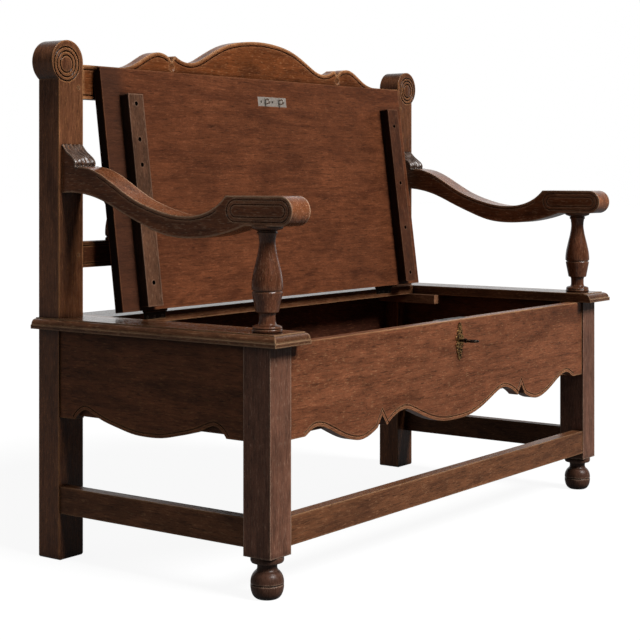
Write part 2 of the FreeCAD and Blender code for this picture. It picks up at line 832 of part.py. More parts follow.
def nosing_profile(edge_y, top_z, under_z):
    """The moulded front edge in section: a small step, a quarter round, a ledge and a flat band.
    Points are (y, z), with the edge facing -Y."""
    step_y = edge_y + nosing_depth
    round_y = step_y - nosing_step
    ledge_y = edge_y + nosing_ledge
    band_z = under_z + nosing_band
    round_top = top_z - nosing_step
    reach = round_y - ledge_y
    fall = round_top - band_z
    mid = Vector(0, round_y - reach * math.sin(math.pi / 4),
                 band_z + fall * math.cos(math.pi / 4))
    return [
        line(Vector(0, step_y, top_z), Vector(0, step_y, round_top)),
        line(Vector(0, step_y, round_top), Vector(0, round_y, round_top)),
        curve([Vector(0, round_y, round_top), mid, Vector(0, ledge_y, band_z)]),
        line(Vector(0, ledge_y, band_z), Vector(0, edge_y, band_z)),
        line(Vector(0, edge_y, band_z), Vector(0, edge_y, under_z)),
    ]


def nosed_slab(x0, x1, edge_y, back_edge_y, top_z, under_z):
    """A board with the moulding along its front edge, running the whole way from x0 to x1."""
    edges = nosing_profile(edge_y, top_z, under_z)
    edges += [
        line(Vector(0, edge_y, under_z), Vector(0, back_edge_y, under_z)),
        line(Vector(0, back_edge_y, under_z), Vector(0, back_edge_y, top_z)),
        line(Vector(0, back_edge_y, top_z), Vector(0, edge_y + nosing_depth, top_z)),
    ]
    slab = Part.Face(Part.Wire(Part.__sortEdges__(edges))).extrude(X_AXIS * (x1 - x0))
    slab.translate(X_AXIS * x0)
    return slab


def seat_end_board():
    """The fixed board over each end of the chest, moulded along its outer and front edges."""
    length = back_y - seat_front_y
    front_nosed = nosed_slab(-seat_outer_x, -end_board_inner_x, seat_front_y, back_y,
                             seat_height, seat_under_z)
    side_nosed = nosed_slab(0, length, 0, end_board_width, seat_height, seat_under_z)
    side_nosed.rotate(Vector(0, 0, 0), Z_AXIS, -90)
    side_nosed.translate(Vector(-seat_outer_x, back_y, 0))
    board = front_nosed.common(side_nosed)
    clear = post_notch_clearance
    notch = box(-outer_x - clear, -post_inner_x + clear, post_front_y - clear, back_y + 1.0,
                seat_under_z, seat_height)
    return carve(board, [notch, support_tenons()])


def rear_seat_board():
    board = box(-end_board_inner_x, end_board_inner_x, rear_board_front_y, back_y,
                seat_under_z, seat_height)
    cutters = []
    for centre in (-hinge_centre_reach, hinge_centre_reach):
        cutters.append(frame_leaf_recess(centre))
        cutters += frame_hinge_screw_shapes(centre)
    return carve(board, cutters)


def seat_cleat():
    """A short bearer screwed under the end board; the rear board's end lies on its inner part."""
    x0 = -end_board_inner_x - cleat_width + cleat_lap
    return box(x0, x0 + cleat_width, rear_board_front_y - cleat_front_reach, rear_panel_face_y,
               seat_under_z - cleat_height, seat_under_z)


# Arms

def arm_span():
    """Where the curved part of the arm starts and ends: at the post, and behind the flat end."""
    return post_front_y, arm_nose_y + arm_flat_length


def arm_top_run():
    back, front = arm_span()
    valley = arm_flat_height - arm_valley_drop
    root = arm_root_top_height
    reach = back - arm_leaf_depth - front
    lift = root - valley
    run = [(1.0, root), (0.84, valley + 0.867 * lift), (0.72, valley + 0.6 * lift),
           (0.6, valley + 0.335 * lift), (0.475, valley + 0.15 * lift),
           (0.36, valley + 0.035 * lift), (0.255, valley),
           (0.15, valley + 0.118 * arm_valley_drop), (0.065, valley + 0.46 * arm_valley_drop),
           (0.0, arm_flat_height)]
    return [(front + share * reach, up) for share, up in run]


def arm_bottom_run():
    back, front = arm_span()
    valley = arm_flat_height - arm_valley_drop - arm_valley_thickness
    root = arm_root_bottom_height
    end_y = front - arm_bottom_lead
    reach = back - end_y
    dip = arm_flat_under_z - valley
    lift = root - valley
    run = [(0.0, arm_flat_under_z), (0.098, valley + 0.44 * dip), (0.2, valley + 0.09 * dip),
           (0.31, valley), (0.42, valley + 0.069 * lift), (0.53, valley + 0.275 * lift),
           (0.645, valley + 0.544 * lift), (0.76, valley + 0.825 * lift),
           (0.87, valley + 0.981 * lift), (1.0, root)]
    return [(end_y + share * reach, up) for share, up in run]


def leaf_run(inset):
    """The carved leaf's front: hollow above and swelling below, from the post down to the arm."""
    top = arm_leaf_top_height
    low = arm_root_top_height
    tall = top - low
    run = [(0.1, 1.0), (0.2, 0.88), (0.38, 0.7), (0.66, 0.52), (0.88, 0.36), (0.99, 0.18),
           (0.97, 0.0)]
    return [(post_front_y - share * arm_leaf_depth + inset, low + up * tall - 0.5 * inset)
            for share, up in run]


def arm_outline_edges(place):
    top = arm_top_run()
    bottom = arm_bottom_run()
    leaf = leaf_run(0.0)
    radius = arm_flat_thickness / 2
    nose_y = arm_nose_y + radius
    middle_z = arm_flat_height - radius
    return [
        line(place(post_front_y, arm_root_bottom_height), place(post_front_y, leaf[0][1])),
        line(place(post_front_y, leaf[0][1]), place(*leaf[0])),
        curve([place(*point) for point in leaf]),
        line(place(*leaf[-1]), place(*top[0])),
        curve([place(*point) for point in top]),
        line(place(*top[-1]), place(nose_y, arm_flat_height)),
        Part.Arc(place(nose_y, arm_flat_height), place(arm_nose_y, middle_z),
                 place(nose_y, arm_flat_under_z)).toShape(),
        line(place(nose_y, arm_flat_under_z), place(*bottom[0])),
        curve([place(*point) for point in bottom]),
    ]


def stadium_ring(place, inset, sweep):
    """A scratched line shaped like a running track, on the side of the arm's flat end."""
    rings = []
    for extra in (0.0, arm_line_width):
        radius = arm_flat_thickness / 2 - inset - extra
        front = arm_nose_y + arm_flat_thickness / 2
        back = arm_nose_y + arm_flat_length - arm_flat_thickness / 2 + 4.0
        middle = arm_flat_height - arm_flat_thickness / 2
        edges = [
            line(place(front, middle + radius), place(back, middle + radius)),
            Part.Arc(place(back, middle + radius), place(back + radius, middle),
                     place(back, middle - radius)).toShape(),
            line(place(back, middle - radius), place(front, middle - radius)),
            Part.Arc(place(front, middle - radius), place(front - radius, middle),
                     place(front, middle + radius)).toShape(),
        ]
        rings.append(prism(edges, sweep))
    return rings[0].cut(rings[1])


def arm_top_lines():
    """Two straight lines scratched along the flat end's top, which run out over its round nose."""
    lines = []
    back_y = arm_nose_y + arm_flat_length + arm_line_inset
    for edge, step in ((-arm_outer_x, 1), (-arm_inner_x, -1)):
        x0 = edge + step * arm_top_line_inset
        x1 = x0 + step * arm_line_width
        lines.append(box(min(x0, x1), max(x0, x1), arm_nose_y, back_y,
                         arm_flat_height - arm_line_depth, arm_flat_height + arm_line_depth))
    return lines


def arm():
    """A sawn arm: a carved leaf where it meets the post, a deep dip, and a flat round-nosed end."""
    place = lambda along, up: Vector(-arm_outer_x, along, up)
    body = Part.Face(Part.Wire(Part.__sortEdges__(arm_outline_edges(place))))
    body = join([body.extrude(X_AXIS * arm_width), arm_core(tenon_length)])
    cutters = [support_tenons()]
    inner_place = lambda along, up: Vector(-arm_inner_x, along, up)
    for where, sink in ((place, X_AXIS * arm_line_depth), (inner_place, -X_AXIS * arm_line_depth)):
        cutters.append(stadium_ring(where, arm_outer_track_inset, sink))
        cutters.append(stadium_ring(where, arm_inner_track_inset, sink))
        run = arm_top_run()[1:-1]
        cutters.append(band(run, arm_line_inset, arm_line_inset + arm_line_width, where, sink))
    pitch = arm_width / arm_leaf_flute_count
    for index in range(arm_leaf_flute_count):
        x0 = -arm_outer_x + pitch * (index + 0.2)
        outer = [Vector(x0, y, z) for y, z in leaf_run(-arm_leaf_hollow_lift)]
        inner = [Vector(x0, y, z) for y, z in leaf_run(arm_leaf_flute_depth)]
        edges = [curve(outer), line(outer[-1], inner[-1]), curve(inner), line(inner[0], outer[0])]
        flute = Part.Face(Part.Wire(Part.__sortEdges__(edges))).extrude(X_AXIS * pitch * 0.6)
        cutters.append(flute)
    return carve(body, cutters + arm_top_lines())


def arm_support():
    """The turned baluster between the seat board and the arm, with a round tenon at each end.
    Its points are shares of its widest radius and of its height."""
    foot = seat_height
    head = arm_flat_under_z
    tall = head - foot
    profile = [
        [(0.9, 0.0), (0.945, 0.012), (0.93, 0.03)],
        [(0.93, 0.03), (0.875, 0.034)],
        [(0.875, 0.034), (0.92, 0.04), (0.9, 0.054), (0.82, 0.065)],
        [(0.82, 0.065), (0.57, 0.074)],
        [(0.57, 0.074), (0.525, 0.1), (0.52, 0.155), (0.56, 0.185)],
        [(0.56, 0.185), (0.72, 0.192)],
        [(0.72, 0.192), (0.795, 0.25), (0.885, 0.32), (0.955, 0.378)],
        [(0.955, 0.378), (0.89, 0.385)],
        [(0.89, 0.385), (0.89, 0.394)],
        [(0.89, 0.394), (0.965, 0.401)],
        [(0.965, 0.401), (0.972, 0.44), (0.92, 0.52), (0.77, 0.625), (0.61, 0.725), (0.52, 0.81),
         (0.505, 0.86), (0.54, 0.905), (0.56, 0.922)],
        [(0.56, 0.922), (0.625, 0.928), (0.63, 0.942), (0.57, 0.95)],
        [(0.57, 0.95), (0.68, 0.958), (0.85, 0.968)],
        [(0.85, 0.968), (0.93, 0.972)],
        [(0.93, 0.972), (0.985, 0.984), (1.0, 1.0)],
    ]
    runs = [[(share * support_radius, foot + up * tall) for share, up in run] for run in profile]
    body = turned(runs, -leg_centre_x, leg_centre_y)
    return join([body, support_tenons()])


def support_tenons():
    low = seat_under_z - support_leg_tenon_depth
    high = arm_flat_under_z + support_arm_tenon_depth
    return rod(Vector(-leg_centre_x, leg_centre_y, low), Z_AXIS, support_tenon_radius, high - low)


# Lid. Each piece is made where it lies with the lid shut, and then turned open.

def lid_lean():
    """How far past upright the lid swings before its top arris meets the crest rail, in degrees."""
    arris = lid_rear_gap / 2 + (lid_rear_y - lid_front_y - nosing_depth)
    offset = crest_face_y - lid_lean_gap - hinge_axis_y
    size = math.hypot(arris, hinge_knuckle_rise)
    return math.degrees(math.asin(offset / size) + math.atan(hinge_knuckle_rise / arris))


lid_open_angle = 90.0 + lid_lean()


def opened(shape):
    turned_shape = shape.copy()
    turned_shape.rotate(Vector(0, hinge_axis_y, hinge_axis_z), X_AXIS, -lid_open_angle)
    return turned_shape


def batten_screw_places():
    places = []
    for side, reaches in ((-1, left_batten_screws), (1, right_batten_screws)):
        for reach in reaches:
            places.append((side * batten_centre_x, lid_rear_y - reach))
    return places


def batten_screw_shapes():
    screws = []
    for x, y in batten_screw_places():
        seat = lid_under_z - batten_thickness + batten_counterbore_depth
        head = rod(Vector(x, y, seat - batten_screw_head_height), Z_AXIS,
                   batten_screw_head_radius, batten_screw_head_height)
        shank = rod(Vector(x, y, seat), Z_AXIS, batten_screw_radius, batten_screw_length)
        screws.append(head.fuse(shank).removeSplitter())
    return screws


def lid_panel():
    panel = nosed_slab(-lid_half_length, lid_half_length, lid_front_y, lid_rear_y,
                       seat_height, lid_under_z)
    cutters = batten_screw_shapes() + [strike_plate_blank()] + strike_screw_shapes()
    for centre in (-hinge_centre_reach, hinge_centre_reach):
        cutters.append(lid_leaf_recess(centre))
        cutters += lid_hinge_screw_shapes(centre)
    return carve(panel, cutters)


def lid_batten(side):
    centre = side * batten_centre_x
    low = lid_under_z - batten_thickness
    batten = box(centre - batten_width / 2, centre + batten_width / 2, batten_front_y,
                 batten_rear_y, low, lid_under_z)
    cutters = batten_screw_shapes()
    for x, y in batten_screw_places():
        cutters.append(rod(Vector(x, y, low), Z_AXIS, batten_counterbore_radius,
                           batten_counterbore_depth))
    return carve(batten, cutters)


# Butt hinges, made shut: the leaves are let into the edges of the rear board and the lid

def knuckle_spans(centre, owner):
    """The lengths of barrel that belong to one leaf: 0 for the frame's leaf, 1 for the lid's."""
    pitch = hinge_length / hinge_knuckle_count
    start = centre - hinge_length / 2
    spans = []
    for index in range(hinge_knuckle_count):
        if index % 2 == owner:
            x0 = start + pitch * index
            low = x0 if index == 0 else x0 + hinge_knuckle_gap / 2
            last = index == hinge_knuckle_count - 1
            high = x0 + pitch if last else x0 + pitch - hinge_knuckle_gap / 2
            spans.append((low, high))
    return spans


def hinge_plate(centre, side):
    """The flat of a leaf: side is 1 behind the axis, in the rear board, and -1 in the lid."""
    inner = hinge_axis_y + side * lid_rear_gap / 2
    outer = inner + side * hinge_leaf_thickness
    return box(centre - hinge_length / 2, centre + hinge_length / 2, min(inner, outer),
               max(inner, outer), seat_height - hinge_leaf_depth, hinge_axis_z)


def hinge_leaf(centre, side, owner, bore_radius, screws):
    axis = Vector(0, hinge_axis_y, hinge_axis_z)
    clear = hinge_knuckle_radius + hinge_running_clearance
    gaps = [rod(axis + X_AXIS * (low - hinge_knuckle_gap), X_AXIS, clear,
                high - low + 2 * hinge_knuckle_gap)
            for low, high in knuckle_spans(centre, 1 - owner)]
    plate = hinge_plate(centre, side).cut(gaps)
    barrels = [rod(axis + X_AXIS * low, X_AXIS, hinge_knuckle_radius, high - low)
               for low, high in knuckle_spans(centre, owner)]
    leaf = join([plate] + barrels)
    bore = rod(axis + X_AXIS * (centre - hinge_length), X_AXIS, bore_radius, 2 * hinge_length)
    return carve(leaf, [bore] + screws)


def frame_hinge_leaf(centre):
    return hinge_leaf(centre, 1, 0, hinge_pin_radius, frame_hinge_screw_shapes(centre))


def lid_hinge_leaf(centre):
    return hinge_leaf(centre, -1, 1, hinge_pin_radius + hinge_pin_clearance,
                      lid_hinge_screw_shapes(centre))


def frame_leaf_recess(centre):
    return hinge_plate(centre, 1)


def lid_leaf_recess(centre):
    return hinge_plate(centre, -1)


def hinge_screws(centre, side):
    face_y = hinge_axis_y + side * lid_rear_gap / 2
    height = seat_height - hinge_screw_drop
    screws = []
    for offset in (-hinge_screw_spacing, 0.0, hinge_screw_spacing):
        screws.append(countersunk_screw(Vector(centre + offset, face_y, height), Y_AXIS * side,
                                        hinge_screw_radius, hinge_screw_head_radius,
                                        hinge_screw_length))
    return screws


def frame_hinge_screw_shapes(centre):
    return hinge_screws(centre, 1)


def lid_hinge_screw_shapes(centre):
    return hinge_screws(centre, -1)


def hinge_pin(centre):
    start = Vector(centre - hinge_length / 2, hinge_axis_y, hinge_axis_z)
    pin = rod(start, X_AXIS, hinge_pin_radius, hinge_length)
    heads = [rod(start - X_AXIS * hinge_pin_head_length, X_AXIS, hinge_pin_head_radius,
                 hinge_pin_head_length),
             rod(start + X_AXIS * hinge_length, X_AXIS, hinge_pin_head_radius,
                 hinge_pin_head_length)]
    return join([pin] + heads)


# Lock

def lock_case_box():
    return box(lock_centre_x - lock_case_length / 2, lock_centre_x + lock_case_length / 2,
               lock_face_y, lock_back_y, seat_under_z - lock_case_height, seat_under_z)


def selvedge():
    return box(lock_centre_x - selvedge_length / 2, lock_centre_x + selvedge_length / 2,
               lock_face_y, lock_back_y, seat_under_z - selvedge_thickness, seat_under_z)


def lock_recess():
    return lock_case_box().fuse(selvedge())


def keyhole(y0, y1):
    """A round hole over a slot, wide enough for the key's shank and bit."""
    radius = key_shank_radius + keyhole_clearance
    slot = key_bit_thickness / 2 + keyhole_clearance
    drop = key_bit_radius + keyhole_clearance
    top = rod(Vector(lock_centre_x, y0, key_axis_z), Y_AXIS, radius, y1 - y0)
    bottom = box(lock_centre_x - slot, lock_centre_x + slot, y0, y1, key_axis_z - drop, key_axis_z)
    return top.fuse(bottom)


def lock_screw_shapes():
    """Two screws down through the selvedge, and three that hold the cap to the case's pillars."""
    end = (selvedge_length + lock_case_length) / 4
    screws = []
    for side in (-1, 1):
        head = Vector(lock_centre_x + side * end, (lock_face_y + front_panel_back_y) / 2,
                      seat_under_z)
        screws.append(countersunk_screw(head, -Z_AXIS, plate_screw_radius,
                                        plate_screw_head_radius, plate_screw_length))
    return screws


def pillar_places():
    reach = lock_case_length / 2 - lock_wall - lock_pillar_room
    low = seat_under_z - lock_case_height + lock_wall + lock_pillar_room
    return [(lock_centre_x - reach, low), (lock_centre_x + reach, low),
            (lock_centre_x + reach, bolt_top_z + 8.0)]


def cap_screw_shapes():
    return [countersunk_screw(Vector(x, lock_back_y, z), -Y_AXIS, plate_screw_radius,
                              plate_screw_head_radius, plate_screw_length)
            for x, z in pillar_places()]


def lock_case():
    """An open iron box with its selvedge, the staple slots, the pillars and the bolt's rails."""
    outer = lock_case_box()
    inner = box(lock_centre_x - lock_case_length / 2 + lock_wall,
                lock_centre_x + lock_case_length / 2 - lock_wall,
                lock_face_y + lock_wall, lock_back_y,
                seat_under_z - lock_case_height + lock_wall, seat_under_z - selvedge_thickness)
    case = outer.cut(inner)
    cap_y = lock_back_y - lock_wall
    pillars = [rod(Vector(x, lock_face_y, z), Y_AXIS, lock_pillar_radius, cap_y - lock_face_y)
               for x, z in pillar_places()]
    rails = []
    rail_start = key_bit_radius + 3.0
    rail_end = lock_case_length / 2 - lock_wall
    for side in (-1, 1):
        x0, x1 = sorted((lock_centre_x + side * rail_start, lock_centre_x + side * rail_end))
        rail_top = bolt_bottom_z - bolt_slide_gap
        rails.append(box(x0, x1, lock_face_y + lock_wall, cap_y, rail_top - lock_rail_height,
                         rail_top))
    case = join([case, selvedge()] + pillars + rails)
    cutters = [box(lock_centre_x - lock_case_length / 2 + lock_wall,
                   lock_centre_x + lock_case_length / 2 - lock_wall,
                   cap_y, lock_back_y + 1.0,
                   seat_under_z - lock_case_height + lock_wall,
                   seat_under_z - selvedge_thickness)]
    half_x = staple_thickness / 2 + staple_slot_clearance
    half_y = staple_width / 2 + staple_slot_clearance
    for side in (-1, 1):
        x = lock_centre_x + side * staple_spacing / 2
        cutters.append(box(x - half_x, x + half_x, lock_middle_y - half_y, lock_middle_y + half_y,
                           seat_under_z - selvedge_thickness - 1.0, seat_under_z + 1.0))
    cutters.append(keyhole(lock_face_y - 1.0, lock_face_y + lock_wall))
    return carve(case, cutters + lock_screw_shapes() + cap_screw_shapes())


def lock_cap():
    """The iron plate that closes the case on the chest side, with a hole for the key's tip."""
    plate = box(lock_centre_x - lock_case_length / 2 + lock_wall,
                lock_centre_x + lock_case_length / 2 - lock_wall,
                lock_back_y - lock_wall, lock_back_y,
                seat_under_z - lock_case_height + lock_wall, seat_under_z - selvedge_thickness)
    tip = rod(Vector(lock_centre_x, lock_back_y - 2 * lock_wall, key_axis_z), Y_AXIS,
              key_tip_radius + key_tip_clearance, 3 * lock_wall)
    return carve(plate, [tip] + cap_screw_shapes())


def tongue_height_z():
    """The middle of the staples' eyes, where the bolt's tongues pass."""
    return lid_under_z - (staple_drop - staple_wire) / 2


def lock_bolt():
    """A sliding bar with a notch for the key and two tongues that pass through the staples."""
    travel_room = staple_thickness / 2 + bolt_tongue_room
    y0 = lock_middle_y - bolt_thickness / 2
    y1 = lock_middle_y + bolt_thickness / 2
    middle_z = tongue_height_z()
    low = middle_z - bolt_tongue_height / 2
    high = middle_z + bolt_tongue_height / 2
    pieces = []
    posts = []
    for side in (-1, 1):
        staple_x = lock_centre_x + side * staple_spacing / 2
        tip = staple_x - travel_room
        post_right = staple_x - staple_thickness / 2 - bolt_post_gap - bolt_throw
        pieces.append(box(post_right - 1.0, tip, y0, y1, low, high))
        pieces.append(box(post_right - bolt_post_length, post_right, y0, y1, bolt_top_z - 1.0, high))
        posts.append(post_right)
    bar = box(posts[0] - bolt_post_length, posts[1] + bolt_tail, y0, y1, bolt_bottom_z,
              bolt_top_z)
    notch_x = lock_centre_x - bolt_throw / 2
    notch = box(notch_x - bolt_notch_width / 2, notch_x + bolt_notch_width / 2, y0, y1,
                bolt_bottom_z, bolt_bottom_z + bolt_notch_depth)
    return carve(join([bar] + pieces), [notch])


def lock_spring():
    """A bent steel strip riveted under the selvedge, resting on the top of the bolt."""
    top = seat_under_z - selvedge_thickness
    tip = bolt_top_z + spring_rest_gap
    thick = spring_thickness
    x0 = lock_centre_x - 14.0
    points = [(x0, top), (x0 + 8.0, top), (x0 + 17.0, tip + thick), (x0 + 20.0, tip + 3.0),
              (x0 + 20.0, tip + 2.0), (x0 + 17.0, tip), (x0 + 7.6, top - thick), (x0, top - thick)]
    corners = [Vector(x, lock_middle_y - spring_width / 2, z) for x, z in points]
    edges = [line(corners[index - 1], corners[index]) for index in range(len(corners))]
    return Part.Face(Part.Wire(edges)).extrude(Y_AXIS * spring_width)


def key():
    """An iron key, turned until its bow and its bit lie level: a ring bow, a collared shank,
    a bit that drives the bolt, and a thin tip that turns in the lock's cap."""
    face = front_panel_face_y
    bow_y = face - key_reach + key_bow_length / 2
    outer = Part.Ellipse(Vector(0, 0, 0), key_bow_length / 2, key_bow_width / 2).toShape()
    inner = Part.Ellipse(Vector(0, 0, 0), key_bow_length / 2 - key_bow_ring,
                         key_bow_width / 2 - key_bow_ring).toShape()
    ring = prism([outer], Z_AXIS * key_bow_thickness).cut(
        prism([inner], Z_AXIS * key_bow_thickness))
    ring.rotate(Vector(0, 0, 0), Z_AXIS, 90)
    ring.translate(Vector(lock_centre_x, bow_y, key_axis_z - key_bow_thickness / 2))
    shank_start = bow_y + key_bow_length / 2 - 2.0
    shank_end = lock_back_y - lock_wall - 1.0
    shank = rod(Vector(lock_centre_x, shank_start, key_axis_z), Y_AXIS, key_shank_radius,
                shank_end - shank_start)
    collars = [rod(Vector(lock_centre_x, shank_start + 3.0, key_axis_z), Y_AXIS,
                   key_shank_radius + key_collar_step, key_collar_length),
               rod(Vector(lock_centre_x, shank_start + 7.5, key_axis_z), Y_AXIS,
                   key_shank_radius + key_collar_step / 2, key_collar_length / 2)]
    tip = rod(Vector(lock_centre_x, shank_end - 1.0, key_axis_z), Y_AXIS, key_tip_radius,
              lock_wall + 2.0)
    bit = box(lock_centre_x - key_bit_radius, lock_centre_x, lock_middle_y - key_bit_width / 2,
              lock_middle_y + key_bit_width / 2, key_axis_z - key_bit_thickness / 2,
              key_axis_z + key_bit_thickness / 2)
    return join([ring, shank, tip, bit] + collars)


def escutcheon():
    """A cast brass plate round the keyhole, pierced and scalloped, tall and narrow."""
    face = front_panel_face_y - escutcheon_thickness
    half = escutcheon_height / 2
    lobes = [(0.0, 0.0, 11.0), (0.0, 14.0, 9.0), (0.0, -14.0, 9.0), (0.0, 25.0, 6.5),
             (0.0, -25.0, 7.0), (0.0, half - 4.5, 4.5), (0.0, 4.0 - half, 4.0)]
    for side in (-1, 1):
        lobes += [(side * 9.5, 7.0, 5.5), (side * 9.5, -7.5, 5.5), (side * 6.5, 19.0, 4.2),
                  (side * 6.5, -19.5, 4.2), (side * 4.5, 30.0, 3.0), (side * 4.5, -30.5, 3.0)]
    pierced = []
    for side in (-1, 1):
        pierced += [(side * 9.8, 7.2, 2.4), (side * 9.8, -7.8, 2.4), (side * 5.2, 17.5, 1.9),
                    (side * 5.2, -18.0, 1.9)]
    pierced += [(0.0, 24.5, 2.2), (0.0, -25.0, 2.4)]
    disc = lambda x, z, radius: rod(Vector(lock_centre_x + x, face, key_axis_z - 2.0 + z),
                                    Y_AXIS, radius, escutcheon_thickness)
    plate = join([disc(*lobe) for lobe in lobes])
    cutters = [disc(*hole) for hole in pierced] + [keyhole(face - 1.0, front_panel_face_y + 1.0)]
    return carve(plate, cutters + escutcheon_pin_shapes())


def escutcheon_pin_shapes():
    pins = []
    for drop in (32.5, -34.0):
        start = Vector(lock_centre_x, front_panel_face_y - escutcheon_thickness,
                       key_axis_z - 2.0 + drop)
        pins.append(rod(start, Y_AXIS, escutcheon_pin_radius, escutcheon_pin_length))
    return pins


# Strike plate on the lid, made shut

def strike_plate_blank():
    middle_y = lock_middle_y
    return box(lock_centre_x - strike_length / 2, lock_centre_x + strike_length / 2,
               middle_y - strike_width / 2, middle_y + strike_width / 2,
               lid_under_z, lid_under_z + strike_thickness)


def strike_screw_shapes():
    screws = []
    for offset in (-strike_length / 2 + 12.0, 0.0, strike_length / 2 - 12.0):
        head = Vector(lock_centre_x + offset, lock_middle_y, lid_under_z)
        screws.append(countersunk_screw(head, Z_AXIS, plate_screw_radius,
                                        plate_screw_head_radius, plate_screw_length))
    return screws


def staple(x):
    """A loop of iron that hangs from the strike plate, with its eye facing along the bench."""
    outer = staple_width / 2
    inner = outer - staple_wire
    low = lid_under_z - staple_drop
    place = lambda along, up: Vector(x - staple_thickness / 2, lock_middle_y + along, up)
    loops = []
    for half, bottom, top in ((outer, low, lid_under_z + strike_thickness),
                              (inner, low + staple_wire, lid_under_z - 0.6)):
        centre_z = bottom + half
        edges = [
            line(place(half, top), place(-half, top)),
            line(place(-half, top), place(-half, centre_z)),
            Part.Arc(place(-half, centre_z), place(0, bottom), place(half, centre_z)).toShape(),
            line(place(half, centre_z), place(half, top)),
        ]
        loops.append(prism(edges, X_AXIS * staple_thickness))
    return loops[0].cut(loops[1])


def strike_plate():
    staples = [staple(lock_centre_x + side * staple_spacing / 2) for side in (-1, 1)]
    return carve(join([strike_plate_blank()] + staples), strike_screw_shapes())


# Build every piece

os.makedirs("parts", exist_ok=True)

save_pair("rear_post", rear_post())
save_pair("front_leg", front_leg())
save_pair("side_rail", side_rail())
save("front_stretcher", [front_stretcher()])
save("lower_back_rail", [lower_back_rail()])
save("crest_rail", [crest_rail()])
for number, centre in enumerate(splat_centres(), start=1):
    save("back_splat_" + str(number), [splat(centre)])
save("joint_pegs", both_side_pegs())

save("front_panel", [front_panel()])
save_pair("end_panel", end_panel())
save("rear_panel", [rear_panel()])
save("floor_bearer_front", [floor_bearer(front_panel_back_y, 1, leg_inner_x)])
save("floor_bearer_rear", [floor_bearer(rear_panel_face_y, -1, post_inner_x)])
save("floor_boards", floor_boards())

save_pair("seat_end_board", seat_end_board())
save("rear_seat_board", [rear_seat_board()])
save_pair("seat_cleat", seat_cleat())

save_pair("arm", arm())
save_pair("arm_support", arm_support())

save("lid_panel", [opened(lid_panel())])
save("lid_batten_left", [opened(lid_batten(-1))])
save("lid_batten_right", [opened(lid_batten(1))])
save("batten_screws", [opened(screw) for screw in batten_screw_shapes()])

hinge_ends = (("left", -hinge_centre_reach), ("right", hinge_centre_reach))
for end, centre in hinge_ends:
    save("hinge_leaf_frame_" + end, [frame_hinge_leaf(centre)])
    save("hinge_leaf_lid_" + end, [opened(lid_hinge_leaf(centre))])
    save("hinge_pin_" + end, [hinge_pin(centre)])
save("hinge_screws_frame",
     [screw for end, centre in hinge_ends for screw in frame_hinge_screw_shapes(centre)])
save("hinge_screws_lid",
     [opened(screw) for end, centre in hinge_ends for screw in lid_hinge_screw_shapes(centre)])

save("lock_case", [lock_case()])
save("lock_cap", [lock_cap()])
save("lock_spring", [lock_spring()])
save("lock_bolt", [lock_bolt()])
save("lock_screws", lock_screw_shapes() + cap_screw_shapes())
save("key", [key()])
save("escutcheon", [escutcheon()])
save("escutcheon_pins", escutcheon_pin_shapes())
save("strike_plate", [opened(strike_plate())])
save("strike_screws", [opened(screw) for screw in strike_screw_shapes()])
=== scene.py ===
import math

import bmesh
import bpy
from mathutils import Matrix, Vector


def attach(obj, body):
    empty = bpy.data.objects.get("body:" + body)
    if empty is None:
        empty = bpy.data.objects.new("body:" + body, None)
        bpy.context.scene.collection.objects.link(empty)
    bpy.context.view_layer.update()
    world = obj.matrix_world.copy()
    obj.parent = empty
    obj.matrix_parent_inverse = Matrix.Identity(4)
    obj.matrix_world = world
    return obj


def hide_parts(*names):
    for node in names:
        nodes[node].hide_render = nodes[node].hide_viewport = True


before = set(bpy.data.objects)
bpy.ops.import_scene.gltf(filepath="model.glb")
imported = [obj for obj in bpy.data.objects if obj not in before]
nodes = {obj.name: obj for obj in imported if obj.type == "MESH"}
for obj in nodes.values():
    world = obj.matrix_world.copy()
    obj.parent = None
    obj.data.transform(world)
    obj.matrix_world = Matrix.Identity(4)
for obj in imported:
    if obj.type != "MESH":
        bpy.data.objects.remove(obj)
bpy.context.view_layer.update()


# Camera. The photograph was taken level, from the front left corner of the bench and a little
# above its seat. Only the lower part of its frame holds the bench, hence the shift.
camera = bpy.data.objects.new("camera", bpy.data.cameras.new("camera"))
bpy.context.scene.collection.objects.link(camera)
camera.location = (-2.7385, -1.9252, 0.7426)
camera.rotation_euler = (math.radians(90), 0, math.radians(-53.7))
camera.data.sensor_width = 36
camera.data.lens = 87.24
camera.data.shift_y = -0.2256
bpy.context.scene.camera = camera
bpy.context.scene.view_settings.view_transform = "Standard"


# Rear posts. Two square oak posts, each sawn at the top into a roll that leans outwards, with
# rings cut in its front and a domed button in the middle. Dark polish, worn pale on the arrises.

def linear(hex_colour):
    channels = [int(hex_colour[place:place + 2], 16) / 255 for place in (1, 3, 5)]
    return [c / 12.92 if c <= 0.04045 else ((c + 0.055) / 1.055) ** 2.4 for c in channels] + [1.0]


def add(tree, kind, inputs=None, **settings):
    node = tree.nodes.new(kind)
    for setting, value in settings.items():
        setattr(node, setting, value)
    for socket, value in (inputs or {}).items():
        if isinstance(value, bpy.types.NodeSocket):
            tree.links.new(value, node.inputs[socket])
        else:
            node.inputs[socket].default_value = value
    return node


